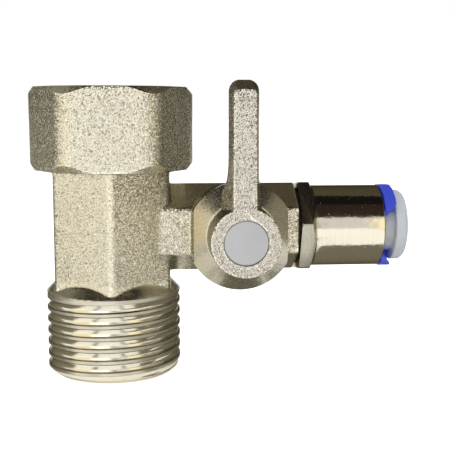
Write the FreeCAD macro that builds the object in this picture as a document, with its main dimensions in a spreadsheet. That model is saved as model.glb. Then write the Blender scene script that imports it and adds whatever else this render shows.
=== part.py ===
import FreeCAD, Part
import Sketcher
import math
import os

# Two-way splitter valve: a half-inch feed adapter with a side branch, a small
# ball valve in the branch and a push-in tube outlet. All sizes in millimetres.
# X runs along the branch, Z up along the run, Y away from the lever.
# The origin is on the run axis, at the end face of the male thread.

SIZES = {
    # run: male thread below, hexagonal neck, hexagonal head above
    "male_thread_dia": 20.955,
    "male_thread_length": 12.85,
    "male_end_bevel": 1.08,
    "male_end_rise": 0.9,
    "shoulder_rise": 1.75,
    "run_bore_dia": 13.0,
    "run_bore_bevel": 0.5,
    "neck_flats": 17.7,
    "neck_corner": 1.2,
    "neck_length": 18.99,
    "head_flats": 24.0,
    "head_length": 12.65,
    "head_corner": 3.7,
    "head_side_corner": 8.0,
    "head_side_bevel": 1.2,
    "head_face_dia": 24.56,
    "socket_dia": 18.631,
    "socket_depth": 11.35,
    "socket_bevel": 1.2,
    "socket_relief_dia": 19.5,
    "socket_relief_length": 2.4,
    "washer_thick": 2.2,
    "washer_hole_dia": 12.6,
    "washer_fit": 0.12,
    # branch
    "branch_height": 22.56,
    "branch_flats": 12.2,
    "branch_corner": 0.6,
    "branch_end": 28.8,
    "branch_end_bevel": 0.35,
    "branch_port_dia": 5.0,
    "chamber_dia": 8.6,
    "chamber_bevel": 0.5,
    # round housing of the ball and its stem
    "housing_dia": 16.1,
    "housing_flats": 13.95,
    "housing_front": 12.9,
    "housing_back": 7.0,
    "housing_waist_dia": 14.0,
    "housing_back_dia": 12.6,
    "housing_face_dia": 10.6,
    "housing_face_drop": 1.45,
    "housing_edge": 0.15,
    # ball, seats and stem
    "ball_place": 19.125,
    "ball_dia": 8.0,
    "ball_bore_dia": 4.0,
    "ball_slot_width": 1.5,
    "ball_slot_depth": 1.15,
    "running_fit": 0.06,
    "seat_inner_reach": 2.2,
    "seat_outer_reach": 5.0,
    "seat_fit": 0.04,
    "flange_dia": 6.2,
    "flange_thick": 0.9,
    "flange_gap": 0.06,
    "thrust_washer_thick": 0.3,
    "stem_dia": 4.5,
    "stem_ring_section": 0.8,
    "stem_ring_first": 7.2,
    "stem_ring_pitch": 2.2,
    "drive_dia": 3.9,
    "drive_flats": 2.9,
    "drive_length": 2.05,
    "drive_fit": 0.03,
    # lever, its stop, screw, spring washer and cap
    "lever_gap": 0.3,
    "lever_front": 18.76,
    "lever_web_thick": 2.2,
    "hub_dia": 10.06,
    "hub_draft": 0.12,
    "hub_edge": 0.25,
    "arm_thick": 2.56,
    "arm_reach": 21.42,
    "arm_tip_slope": 1.33,
    "arm_tip_width": 3.03,
    "arm_root_width": 3.22,
    "arm_offset": 0.12,
    "arm_draft": 0.54,
    "arm_tip_corner": 0.7,
    "arm_flare": 0.8,
    "arm_root_start": 11.3,
    "arm_root_curve": 4.8,
    "stop_inner_dia": 6.2,
    "stop_outer_dia": 8.2,
    "stop_tall": 0.85,
    "stop_side_gap": 0.2,
    "stop_top_gap": 0.2,
    "stop_place": 225.0,
    "stop_span": 40.0,
    "stop_play": 1.5,
    "lever_turn": 90.0,
    "screw_dia": 2.04,
    "screw_length": 4.4,
    "screw_head_dia": 4.4,
    "screw_head_tall": 1.5,
    "screw_slot_width": 0.6,
    "screw_slot_depth": 0.7,
    "screw_space_dia": 5.0,
    "screw_hole_spare": 0.5,
    "spring_washer_dia": 4.2,
    "spring_washer_hole": 2.3,
    "spring_washer_thick": 0.55,
    "spring_washer_split": 0.5,
    "cap_dia": 6.1,
    "cap_thick": 1.15,
    "cap_fit": 0.04,
    "cap_edge": 0.15,
    "cap_flush": 0.04,
    # outlet: hexagon, turned barrel, push-in tube grip
    "gasket_thick": 0.22,
    "gasket_dia": 12.0,
    "nose_fit": 0.05,
    "hexagon_flats": 13.6,
    "hexagon_corner_dia": 15.5,
    "hexagon_thick": 2.25,
    "hexagon_bevel": 0.45,
    "hexagon_turn": 7.6,
    "undercut_length": 0.25,
    "undercut_dia": 12.5,
    "barrel_dia": 12.88,
    "barrel_end": 42.42,
    "barrel_edge": 0.2,
    "outlet_bore_dia": 4.2,
    "tube_dia": 6.35,
    "tube_fit": 0.07,
    "tube_stop": 32.6,
    "gland_dia": 9.5,
    "gland_start": 34.9,
    "tube_ring_spacer": 0.9,
    "grip_start": 38.2,
    "grip_room_dia": 10.5,
    "grip_taper_start": 39.6,
    "mouth_dia": 8.7,
    "mouth_length": 0.9,
    "collet_dia": 8.3,
    "collet_legs_start": 38.5,
    "collet_barb_dia": 9.9,
    "collet_barb_length": 1.3,
    "collet_slot_width": 1.0,
    "collet_slot_length": 3.7,
    "collet_flange_dia": 11.2,
    "collet_flange_thick": 1.9,
    "collet_edge": 0.25,
    "tooth_place": 0.9,
    "tooth_thick": 0.25,
    "tooth_clear": 0.02,
    "tooth_root": 0.55,
    "tooth_width": 1.6,
    "clip_thick": 1.78,
    "clip_side_gap": 0.1,
    "clip_bore_dia": 8.5,
    "clip_dia": 13.2,
    "clip_tip_dia": 11.2,
    "clip_opening_turn": -14.5,
    "clip_half_opening": 36.5,
    "clip_tip_lean": 7.0,
    "clip_point_length": 1.8,
    "clip_point_width": 0.3,
}

ROOT_THREE = math.sqrt(3.0)


# A size is a number together with the sheet expression that gives it.
class Size:
    def __init__(self, value, text):
        self.value = value
        self.text = text

    def __add__(self, other):
        other = as_size(other)
        return Size(self.value + other.value, f"({self.text} + {other.text})")

    def __sub__(self, other):
        other = as_size(other)
        return Size(self.value - other.value, f"({self.text} - {other.text})")

    def __mul__(self, other):
        other = as_size(other)
        return Size(self.value * other.value, f"({self.text} * {other.text})")

    def __truediv__(self, other):
        other = as_size(other)
        return Size(self.value / other.value, f"({self.text} / {other.text})")

    def __neg__(self):
        return Size(-self.value, f"(0 - {self.text})")

    def __radd__(self, other):
        return as_size(other) + self

    def __rsub__(self, other):
        return as_size(other) - self

    def __rmul__(self, other):
        return as_size(other) * self


def as_size(number):
    if isinstance(number, Size):
        return number
    return Size(float(number), f"({float(number)!r})")


def root(size):
    return Size(math.sqrt(size.value), f"sqrt({size.text})")


def cosine(angle):
    angle = as_size(angle)
    return Size(math.cos(math.radians(angle.value)), f"cos({angle.text} * 1 deg)")


def sine(angle):
    angle = as_size(angle)
    return Size(math.sin(math.radians(angle.value)), f"sin({angle.text} * 1 deg)")


class Sheet:
    def __init__(self, doc, sizes):
        self.sheet = doc.addObject("Spreadsheet::Sheet", "sizes")
        for row, (name, value) in enumerate(sizes.items(), start=1):
            self.sheet.set(f"A{row}", name)
            self.sheet.set(f"B{row}", str(value))
            self.sheet.setAlias(f"B{row}", name)
        doc.recompute()
        for name, value in sizes.items():
            setattr(self, name, Size(float(value), f"sizes.{name}"))


doc = FreeCAD.newDocument("splitter_valve")
s = Sheet(doc, SIZES)

# Places along each axis that several pieces share.
neck_start = s.male_thread_length
neck_end = neck_start + s.neck_length
head_end = neck_end + s.head_length
socket_floor = head_end - s.socket_depth
chamber_floor = s.ball_place - s.seat_outer_reach
seat_end = s.ball_place + s.seat_outer_reach
lever_back = s.housing_front + s.lever_gap
web_front = lever_back + s.lever_web_thick
washer_front = web_front + s.spring_washer_thick
screw_front = washer_front + s.screw_head_tall
cap_back = s.lever_front - s.cap_flush - s.cap_thick
flange_back = s.chamber_dia / 2 + s.flange_gap
flange_front = flange_back + s.flange_thick
flange_room = flange_front + s.thrust_washer_thick + s.seat_fit
stem_shoulder = lever_back
stem_front = stem_shoulder + s.drive_length
stem_bore = s.stem_dia / 2 + s.running_fit
hexagon_start = s.branch_end + s.gasket_thick
hexagon_end = hexagon_start + s.hexagon_thick
barrel_start = hexagon_end + s.undercut_length
tube_bore = s.tube_dia / 2 + s.tube_fit
flange_start = s.barrel_end + s.clip_thick + s.clip_side_gap * 2
collet_end = flange_start + s.collet_flange_thick


def new_body(label):
    body = doc.addObject("PartDesign::Body", label)
    body.Label = label
    return body


def place(body, along=None, up=None):
    if along is not None:
        body.setExpression(".Placement.Base.x", along.text)
    if up is not None:
        body.setExpression(".Placement.Base.z", up.text)


def new_sketch(body, name, plane, offset=None, shift=None):
    planes = {item.Role: item for item in body.Origin.OriginFeatures}
    sketch = body.newObject("Sketcher::SketchObject", name)
    sketch.AttachmentSupport = [(planes[plane], "")]
    sketch.MapMode = "FlatFace"
    if offset is not None:
        sketch.setExpression(".AttachmentOffset.Base.z", as_size(offset).text)
    if shift is not None:
        sketch.setExpression(".AttachmentOffset.Base.x", as_size(shift[0]).text)
        sketch.setExpression(".AttachmentOffset.Base.y", as_size(shift[1]).text)
    return sketch


def fix(sketch, kind, *args):
    size = as_size(args[-1])
    index = sketch.addConstraint(Sketcher.Constraint(kind, *args[:-1], size.value))
    if "sizes." in size.text:
        sketch.setExpression(f"Constraints[{index}]", size.text)


# An arc from the point before it to the point after it; bulge is +1 when the
# centre lies left of the way from start to end.
class Bend:
    def __init__(self, radius, bulge):
        self.radius = as_size(radius)
        self.bulge = bulge


def arc_between(start, end, bend):
    radius = bend.radius.value
    span = end - start
    half = span.Length / 2
    rise = math.sqrt(max(radius * radius - half * half, 0.0))
    left = FreeCAD.Vector(-span.y, span.x, 0).normalize()
    centre = start + span * 0.5 + left * rise * bend.bulge
    full = Part.Circle(centre, FreeCAD.Vector(0, 0, 1), radius)
    first, last = (start, end) if bend.bulge > 0 else (end, start)
    from_angle = math.atan2(first.y - centre.y, first.x - centre.x)
    to_angle = math.atan2(last.y - centre.y, last.x - centre.x)
    if to_angle <= from_angle:
        to_angle += 2 * math.pi
    return Part.ArcOfCircle(full, from_angle, to_angle)


# Draws a closed outline from points (pairs of sizes) and bends between them.
def outline(sketch, items):
    points = []
    bends = {}
    for item in items:
        if isinstance(item, Bend):
            bends[len(points) - 1] = item
        else:
            points.append((as_size(item[0]), as_size(item[1])))
    spots = [FreeCAD.Vector(x.value, y.value, 0) for x, y in points]
    count = len(points)
    first = sketch.GeometryCount
    ends = []
    for i in range(count):
        a, b = spots[i], spots[(i + 1) % count]
        if i in bends:
            sketch.addGeometry(arc_between(a, b, bends[i]), False)
            ends.append((1, 2) if bends[i].bulge > 0 else (2, 1))
        else:
            sketch.addGeometry(Part.LineSegment(a, b), False)
            ends.append((1, 2))
    for i in range(count):
        j = (i + 1) % count
        sketch.addConstraint(
            Sketcher.Constraint("Coincident", first + i, ends[i][1], first + j, ends[j][0]))
    for i, (x, y) in enumerate(points):
        fix(sketch, "DistanceX", -1, 1, first + i, ends[i][0], x)
        fix(sketch, "DistanceY", -1, 1, first + i, ends[i][0], y)
    for i, bend in bends.items():
        fix(sketch, "Radius", first + i, bend.radius)


def circle(sketch, radius, x=0, y=0):
    x, y, radius = as_size(x), as_size(y), as_size(radius)
    shape = Part.Circle(FreeCAD.Vector(x.value, y.value, 0), FreeCAD.Vector(0, 0, 1), radius.value)
    index = sketch.addGeometry(shape, False)
    fix(sketch, "DistanceX", -1, 1, index, 3, x)
    fix(sketch, "DistanceY", -1, 1, index, 3, y)
    fix(sketch, "Radius", index, radius)


# A hexagon with rounded corners; the first corner points at angle turn.
def rounded_hexagon(sketch, flats, corners, turn):
    items = []
    for i in range(6):
        corner = as_size(corners[i])
        here = as_size(turn) + 60.0 * i
        reach = flats / ROOT_THREE
        x, y = reach * cosine(here), reach * sine(here)
        cut = corner / ROOT_THREE
        before, after = here + 240.0, here + 120.0
        items.append((x + cut * cosine(before), y + cut * sine(before)))
        items.append(Bend(corner, 1))
        items.append((x + cut * cosine(after), y + cut * sine(after)))
    outline(sketch, items)


def sharp_hexagon(sketch, flats, turn):
    items = []
    for i in range(6):
        here = as_size(turn) + 60.0 * i
        reach = flats / ROOT_THREE
        items.append((reach * cosine(here), reach * sine(here)))
    outline(sketch, items)


# Part of a flat ring between two angles, counted from the sketch's x axis.
def ring_sector(sketch, inner, outer, start, end):
    start, end = as_size(start), as_size(end)
    middle = (start + end) / 2
    outline(sketch, [
        (outer * cosine(start), outer * sine(start)),
        Bend(outer, 1),
        (outer * cosine(middle), outer * sine(middle)),
        Bend(outer, 1),
        (outer * cosine(end), outer * sine(end)),
        (inner * cosine(end), inner * sine(end)),
        Bend(inner, -1),
        (inner * cosine(middle), inner * sine(middle)),
        Bend(inner, -1),
        (inner * cosine(start), inner * sine(start)),
    ])


def rectangle(sketch, x0, y0, x1, y1):
    outline(sketch, [(x0, y0), (x1, y0), (x1, y1), (x0, y1)])


def volume(body):
    doc.recompute()
    shape = body.Tip.Shape if body.Tip else None
    return shape.Volume if shape is not None and not shape.isNull() else 0.0


def add_feature(body, kind, name, sketch, sign, settings):
    before = volume(body)
    feature = body.newObject(kind, name)
    feature.Profile = sketch
    for key, value in settings.items():
        if isinstance(value, Size):
            feature.setExpression(key, value.text)
        else:
            setattr(feature, key, value)
    after = volume(body)
    if (after - before) * sign <= 1e-6:
        raise RuntimeError(f"{body.Label}: {name} changed nothing")
    return feature


def pad(body, name, sketch, length, back=False):
    settings = {"Length": as_size(length), "Reversed": back}
    return add_feature(body, "PartDesign::Pad", name, sketch, 1, settings)


def pocket(body, name, sketch, depth, back=False, middle=False):
    settings = {"Length": as_size(depth), "Reversed": back, "Midplane": middle}
    return add_feature(body, "PartDesign::Pocket", name, sketch, -1, settings)


def revolve(body, name, sketch, axis):
    settings = {"ReferenceAxis": (sketch, [axis]), "Angle": 360.0}
    return add_feature(body, "PartDesign::Revolution", name, sketch, 1, settings)


def groove(body, name, sketch, axis):
    settings = {"ReferenceAxis": (sketch, [axis]), "Angle": 360.0}
    return add_feature(body, "PartDesign::Groove", name, sketch, -1, settings)


# A ring turned about the sketch's horizontal axis, from its profile.
def turned(label, plane, items, along=None, up=None):
    body = new_body(label)
    sketch = new_sketch(body, label + "_profile", plane)
    outline(sketch, items)
    revolve(body, label + "_turned", sketch, "H_Axis")
    place(body, along, up)
    return body


# In an XZ sketch x is X and y is Z; in a YZ sketch x is Y and y is Z.
# Distances in front of the run axis are therefore minus x in a YZ sketch.


def make_body():
    body = new_body("body")
    axis = (0, s.branch_height)

    # round housing of ball and stem, turned about the stem axis
    sketch = new_sketch(body, "housing_profile", "YZ_Plane", s.ball_place, axis)
    rim = s.housing_dia / 2
    rim_depth = s.housing_front - s.housing_face_drop
    outline(sketch, [
        (-s.housing_front, 0),
        (s.housing_back, 0),
        (s.housing_back, s.housing_back_dia / 2 - s.housing_edge * 3),
        (s.housing_back - s.housing_edge * 3, s.housing_back_dia / 2),
        (0, s.housing_waist_dia / 2),
        (-(rim_depth - s.housing_edge), rim),
        (-rim_depth, rim - s.housing_edge),
        (-s.housing_front, s.housing_face_dia / 2),
    ])
    revolve(body, "housing", sketch, "H_Axis")

    # its two flats, square to the branch
    sketch = new_sketch(body, "housing_flats_outline", "XZ_Plane", s.housing_front)
    sides = s.housing_flats / 2
    low, high = s.branch_height - s.housing_dia, s.branch_height + s.housing_dia
    rectangle(sketch, s.ball_place - s.housing_dia, low, s.ball_place - sides, high)
    rectangle(sketch, s.ball_place + sides, low, s.ball_place + s.housing_dia, high)
    pocket(body, "housing_flats_cut", sketch, s.housing_front * 2)

    # hexagonal branch, corners up and down
    sketch = new_sketch(body, "branch_outline", "YZ_Plane", 0, axis)
    rounded_hexagon(sketch, s.branch_flats, [s.branch_corner] * 6, 90.0)
    pad(body, "branch", sketch, s.branch_end)
    sketch = new_sketch(body, "branch_bevel_outline", "XZ_Plane", 0, axis)
    tip = s.branch_flats / ROOT_THREE
    outline(sketch, [
        (s.branch_end, tip - s.branch_end_bevel),
        (s.branch_end, tip * 1.2),
        (s.branch_end - s.branch_end_bevel - tip * 0.2, tip * 1.2),
    ])
    groove(body, "branch_bevel", sketch, "H_Axis")

    # hexagonal neck, corners to front and back
    sketch = new_sketch(body, "neck_outline", "XY_Plane", neck_start)
    rounded_hexagon(sketch, s.neck_flats, [s.neck_corner] * 6, 30.0)
    pad(body, "neck", sketch, s.neck_length)

    # male thread's cylinder and the sloping shoulder that the neck grows from
    sketch = new_sketch(body, "male_profile", "XZ_Plane")
    male = s.male_thread_dia / 2
    shoulder_top = neck_start + s.shoulder_rise
    outline(sketch, [
        (0, 0),
        (male - s.male_end_bevel, 0),
        (male, s.male_end_rise),
        (male, neck_start),
        (s.neck_flats / 2 - 0.05, shoulder_top),
        (0, shoulder_top),
    ])
    revolve(body, "male_end", sketch, "V_Axis")

    # hexagonal head, flats to front and back, with turned bevels
    sketch = new_sketch(body, "head_outline", "XY_Plane", neck_end)
    corners = [s.head_side_corner, s.head_corner, s.head_corner] * 2
    rounded_hexagon(sketch, s.head_flats, corners, 0.0)
    pad(body, "head", sketch, s.head_length)
    face = s.head_face_dia / 2
    over = s.head_flats / ROOT_THREE * 1.1
    sketch = new_sketch(body, "head_top_bevel_profile", "XZ_Plane")
    outline(sketch, [(face, head_end), (over, head_end), (over, head_end - over + face)])
    groove(body, "head_top_bevel", sketch, "V_Axis")
    sketch = new_sketch(body, "head_foot_bevel_profile", "XZ_Plane")
    outline(sketch, [(face, neck_end), (over, neck_end), (over, neck_end + over - face)])
    groove(body, "head_foot_bevel", sketch, "V_Axis")

    # its two side corners are trimmed flat above and below
    apex = s.head_side_corner + (s.head_flats / 2 - s.head_side_corner) * 2 / ROOT_THREE
    inward = apex - s.head_side_bevel
    trims = (("head_trim_top_right", 1, head_end, -1), ("head_trim_top_left", -1, head_end, -1),
             ("head_trim_foot_right", 1, neck_end, 1), ("head_trim_foot_left", -1, neck_end, 1))
    for name, side, level, step in trims:
        sketch = new_sketch(body, name + "_outline", "XZ_Plane")
        outline(sketch, [
            (inward * side, level),
            (over * side, level),
            (over * side, level + (over - inward) * step),
        ])
        pocket(body, name, sketch, s.head_flats, middle=True)

    # waterway of the run, with the female socket above
    sketch = new_sketch(body, "waterway_profile", "XZ_Plane")
    way = s.run_bore_dia / 2
    socket = s.socket_dia / 2
    relief = s.socket_relief_dia / 2
    outline(sketch, [
        (0, 0),
        (way + s.run_bore_bevel, 0),
        (way, s.run_bore_bevel),
        (way, socket_floor),
        (relief, socket_floor),
        (relief, socket_floor + s.socket_relief_length),
        (socket, socket_floor + s.socket_relief_length),
        (socket, head_end - s.socket_bevel),
        (socket + s.socket_bevel, head_end),
        (0, head_end),
    ])
    groove(body, "waterway", sketch, "V_Axis")

    # port from the run into the ball chamber, open at the branch end
    sketch = new_sketch(body, "chamber_profile", "XZ_Plane", 0, axis)
    chamber = s.chamber_dia / 2
    outline(sketch, [
        (0, 0),
        (s.branch_end, 0),
        (s.branch_end, chamber + s.chamber_bevel),
        (s.branch_end - s.chamber_bevel, chamber),
        (chamber_floor, chamber),
        (chamber_floor, s.branch_port_dia / 2),
        (0, s.branch_port_dia / 2),
    ])
    groove(body, "chamber", sketch, "H_Axis")

    # stem hole through the housing, wider inside for the stem's flange
    sketch = new_sketch(body, "stem_hole_profile", "YZ_Plane", s.ball_place, axis)
    room = s.flange_dia / 2 + s.running_fit
    outline(sketch, [
        (0, 0),
        (0, room),
        (-flange_room, room),
        (-flange_room, stem_bore),
        (-s.housing_front, stem_bore),
        (-s.housing_front, 0),
    ])
    groove(body, "stem_hole", sketch, "H_Axis")

    # lug that stops the lever at both ends of its quarter turn
    sketch = new_sketch(body, "stop_outline", "XZ_Plane", s.housing_front,
                        (s.ball_place, s.branch_height))
    half = s.stop_span / 2
    ring_sector(sketch, s.stop_inner_dia / 2, s.stop_outer_dia / 2,
                s.stop_place - half, s.stop_place + half)
    pad(body, "stop_lug", sketch, s.stop_tall)
    return body


def make_inlet_washer():
    body = new_body("inlet_washer")
    sketch = new_sketch(body, "inlet_washer_outline", "XY_Plane", socket_floor)
    circle(sketch, s.socket_relief_dia / 2 - s.washer_fit)
    circle(sketch, s.washer_hole_dia / 2)
    pad(body, "inlet_washer_ring", sketch, s.washer_thick)
    return body


# Pieces on the stem axis are drawn about it and placed at the ball.


def make_ball():
    body = new_body("ball")
    radius = s.ball_dia / 2
    sketch = new_sketch(body, "ball_profile", "XZ_Plane")
    outline(sketch, [(0, -radius), Bend(radius, 1), (radius, 0), Bend(radius, 1), (0, radius)])
    revolve(body, "ball_turned", sketch, "V_Axis")
    sketch = new_sketch(body, "ball_bore_outline", "XY_Plane", -radius)
    circle(sketch, s.ball_bore_dia / 2)
    pocket(body, "ball_bore", sketch, s.ball_dia, back=True)
    sketch = new_sketch(body, "ball_slot_outline", "XZ_Plane", radius)
    half = s.ball_slot_width / 2
    rectangle(sketch, -radius, -half, radius, half)
    pocket(body, "ball_slot", sketch, s.ball_slot_depth)
    place(body, s.ball_place, s.branch_height)
    return body


def make_seat(label, side):
    ball = s.ball_dia / 2 + s.running_fit
    rim = s.chamber_dia / 2 - s.seat_fit
    port = s.branch_port_dia / 2
    near = s.seat_inner_reach
    near_rise = root(ball * ball - near * near)
    port_reach = root(ball * ball - port * port)
    items = [
        (near * side, near_rise),
        Bend(ball, -side),
        (port_reach * side, port),
        (s.seat_outer_reach * side, port),
        (s.seat_outer_reach * side, rim),
        (near * side, rim),
    ]
    return turned(label, "XZ_Plane", items, s.ball_place, s.branch_height)


def make_stem():
    body = new_body("stem")
    shaft = s.stem_dia / 2
    waist = stem_bore - s.stem_ring_section
    room = s.stem_ring_section * 0.6
    first, second = s.stem_ring_first, s.stem_ring_first + s.stem_ring_pitch
    sketch = new_sketch(body, "stem_profile", "YZ_Plane")
    outline(sketch, [
        (-flange_back, 0),
        (-flange_back, s.flange_dia / 2),
        (-flange_front, s.flange_dia / 2),
        (-flange_front, shaft),
        (-(first - room), shaft),
        (-(first - room), waist),
        (-(first + room), waist),
        (-(first + room), shaft),
        (-(second - room), shaft),
        (-(second - room), waist),
        (-(second + room), waist),
        (-(second + room), shaft),
        (-stem_shoulder, shaft),
        (-stem_shoulder, s.drive_dia / 2),
        (-stem_front, s.drive_dia / 2),
        (-stem_front, 0),
    ])
    revolve(body, "stem_turned", sketch, "H_Axis")

    # flats that drive the lever's hole
    sketch = new_sketch(body, "drive_outline", "XZ_Plane", stem_front)
    half, wide = s.drive_flats / 2, s.drive_dia
    rectangle(sketch, half, -wide, wide, wide)
    rectangle(sketch, -wide, -wide, -half, wide)
    pocket(body, "drive_flats_cut", sketch, s.drive_length)

    # tongue that turns the ball by its slot
    sketch = new_sketch(body, "tongue_outline", "XZ_Plane", flange_back)
    half = s.ball_slot_width / 2 - s.running_fit
    rectangle(sketch, -s.drive_dia / 2, -half, s.drive_dia / 2, half)
    reach = flange_back - s.ball_dia / 2 + s.ball_slot_depth * 0.8
    pad(body, "tongue", sketch, reach, back=True)

    # tapped hole for the lever screw
    sketch = new_sketch(body, "tapped_hole_outline", "XZ_Plane", stem_front)
    circle(sketch, s.screw_dia / 2)
    grip = stem_front - (washer_front - s.screw_length)
    pocket(body, "tapped_hole", sketch, grip + s.screw_hole_spare)
    place(body, s.ball_place, s.branch_height)
    return body


# A rubber ring about the sketch's horizontal axis; its section is an octagon.
def make_round_ring(label, plane, middle, section, centre, along, up):
    half = section / 2
    cut = half * (math.sqrt(2.0) - 1.0)
    items = [
        (centre - half, middle - cut),
        (centre - cut, middle - half),
        (centre + cut, middle - half),
        (centre + half, middle - cut),
        (centre + half, middle + cut),
        (centre + cut, middle + half),
        (centre - cut, middle + half),
        (centre - half, middle + cut),
    ]
    return turned(label, plane, items, along, up)


def make_stem_rings():
    section = s.stem_ring_section - s.seat_fit * 2
    middle = stem_bore - s.stem_ring_section / 2
    first, second = s.stem_ring_first, s.stem_ring_first + s.stem_ring_pitch
    for label, depth in (("stem_ring_inner", first), ("stem_ring_outer", second)):
        make_round_ring(label, "YZ_Plane", middle, section, as_size(0) - depth,
                        s.ball_place, s.branch_height)


def make_thrust_washer():
    items = [
        (-flange_front, stem_bore),
        (-(flange_front + s.thrust_washer_thick), stem_bore),
        (-(flange_front + s.thrust_washer_thick), s.flange_dia / 2),
        (-flange_front, s.flange_dia / 2),
    ]
    return turned("thrust_washer", "YZ_Plane", items, s.ball_place, s.branch_height)


# The arm's outline at one depth, flared by tangent arcs into the hub's
# circle; the loft joins the two depths.
def arm_outline(sketch, spread, tip, hub):
    # the arm stands a little off the stem axis, towards the run
    flare = s.arm_flare
    corner = s.arm_tip_corner + spread
    share = hub / (hub + flare)
    sides = []
    for offset in (s.arm_offset, -s.arm_offset):
        top = s.arm_tip_width / 2 + spread + offset
        foot = s.arm_root_width / 2 + spread + offset
        aside = foot + flare
        start = root((hub + flare) * (hub + flare) - aside * aside)
        sides.append((top, foot, start, aside * share))
    (left_top, left_foot, left_start, left_meet), right = sides
    top, foot, start, meet = right
    outline(sketch, [
        (-left_meet, left_start * share),
        (-(left_meet * 0.6), 0),
        (meet * 0.6, 0),
        (meet, start * share),
        Bend(flare, -1),
        (foot, start),
        (top, tip - corner),
        Bend(corner, 1),
        (top - corner, tip),
        (-(left_top - corner), tip),
        Bend(corner, 1),
        (-left_top, tip - corner),
        (-left_foot, left_start),
        Bend(flare, -1),
    ])


def make_lever():
    body = new_body("lever")

    # arm: drafted sides and a tip that slopes back, as deep as the hub at first
    deep = s.lever_front - lever_back
    share = deep / s.arm_thick
    hub = s.hub_dia / 2
    back = new_sketch(body, "arm_back_outline", "XZ_Plane", lever_back)
    arm_outline(back, s.arm_draft * share, s.arm_reach + s.arm_tip_slope * share,
                hub + s.hub_draft)
    front = new_sketch(body, "arm_front_outline", "XZ_Plane", s.lever_front)
    arm_outline(front, as_size(0), s.arm_reach, hub - s.hub_edge * 0.5)
    doc.recompute()
    loft = body.newObject("PartDesign::AdditiveLoft", "arm")
    loft.Profile = back
    loft.Sections = [front]
    loft.Ruled = True
    if volume(body) < 1.0:
        raise RuntimeError("lever: the arm is missing")

    # its back cut away to the arm's thickness, curving down to the hub's foot
    sketch = new_sketch(body, "arm_back_profile", "YZ_Plane")
    arm_back = s.lever_front - s.arm_thick
    drop = arm_back - lever_back
    curve = s.arm_root_curve
    fall = root(curve * curve - (curve - drop) * (curve - drop))
    high = s.arm_reach * 1.5
    outline(sketch, [
        (-arm_back, s.arm_root_start),
        Bend(curve, 1),
        (-lever_back, s.arm_root_start - fall),
        (0, s.arm_root_start - fall),
        (0, high),
        (-arm_back, high),
    ])
    pocket(body, "arm_back_cut", sketch, s.hub_dia * 2, middle=True)

    # hub, turned about the stem axis
    sketch = new_sketch(body, "hub_profile", "YZ_Plane")
    outline(sketch, [
        (-lever_back, 0),
        (-s.lever_front, 0),
        (-s.lever_front, hub - s.hub_edge),
        (-(s.lever_front - s.hub_edge), hub),
        (-lever_back, hub + s.hub_draft),
    ])
    revolve(body, "hub", sketch, "H_Axis")

    # stepped recess for the cap and for the screw's head
    sketch = new_sketch(body, "recess_profile", "YZ_Plane")
    cap = s.cap_dia / 2 + s.cap_fit
    space = s.screw_space_dia / 2
    outline(sketch, [
        (-web_front, 0),
        (-web_front, space),
        (-cap_back, space),
        (-cap_back, cap),
        (-s.lever_front, cap),
        (-s.lever_front, 0),
    ])
    groove(body, "recess", sketch, "H_Axis")

    # hole with two flats that fits the stem's end
    sketch = new_sketch(body, "drive_hole_outline", "XZ_Plane", lever_back)
    side = s.drive_flats / 2 + s.drive_fit
    rim = s.drive_dia / 2 + s.drive_fit
    rise = root(rim * rim - side * side)
    outline(sketch, [
        (side, -rise),
        (side, rise),
        Bend(rim, 1),
        (-side, rise),
        (-side, -rise),
        Bend(rim, 1),
    ])
    pocket(body, "drive_hole", sketch, s.lever_web_thick, back=True)

    # curved slot over the stop lug
    sketch = new_sketch(body, "stop_slot_outline", "XZ_Plane", lever_back)
    half = s.stop_span / 2
    start = s.stop_place - half - s.stop_play
    end = s.stop_place + half + s.lever_turn + s.stop_play
    ring_sector(sketch, s.stop_inner_dia / 2 - s.stop_side_gap,
                s.stop_outer_dia / 2 + s.stop_side_gap, start, end)
    pocket(body, "stop_slot", sketch, s.stop_tall - s.lever_gap + s.stop_top_gap, back=True)
    place(body, s.ball_place, s.branch_height)
    return body


def make_lever_screw():
    head = s.screw_head_dia / 2
    items = [
        (-screw_front, 0),
        (-screw_front, head - s.cap_edge * 2),
        (-(screw_front - s.cap_edge * 2), head),
        (-washer_front, head),
        (-washer_front, s.screw_dia / 2 - s.running_fit),
        (-(washer_front - s.screw_length), s.screw_dia / 2 - s.running_fit),
        (-(washer_front - s.screw_length), 0),
    ]
    body = turned("lever_screw", "YZ_Plane", items, s.ball_place, s.branch_height)
    sketch = new_sketch(body, "screw_slot_outline", "XZ_Plane", screw_front)
    half, wide = s.screw_slot_width / 2, s.screw_head_dia
    rectangle(sketch, -wide, -half, wide, half)
    pocket(body, "screw_slot", sketch, s.screw_slot_depth)
    return body


def make_spring_washer():
    body = new_body("spring_washer")
    sketch = new_sketch(body, "spring_washer_outline", "XZ_Plane", web_front)
    circle(sketch, s.spring_washer_dia / 2)
    circle(sketch, s.spring_washer_hole / 2)
    pad(body, "spring_washer_ring", sketch, s.spring_washer_thick)
    sketch = new_sketch(body, "split_outline", "XZ_Plane", washer_front)
    half = s.spring_washer_split / 2
    rectangle(sketch, -half, 0, half, s.spring_washer_dia)
    pocket(body, "split", sketch, s.spring_washer_thick)
    place(body, s.ball_place, s.branch_height)
    return body


def make_lever_cap():
    front = s.lever_front - s.cap_flush
    edge = s.cap_dia / 2
    items = [
        (-cap_back, 0),
        (-front, 0),
        (-front, edge - s.cap_edge),
        (-(front - s.cap_edge), edge),
        (-cap_back, edge),
    ]
    return turned("lever_cap", "YZ_Plane", items, s.ball_place, s.branch_height)


# Pieces on the branch axis are drawn about it and placed at its height.


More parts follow.
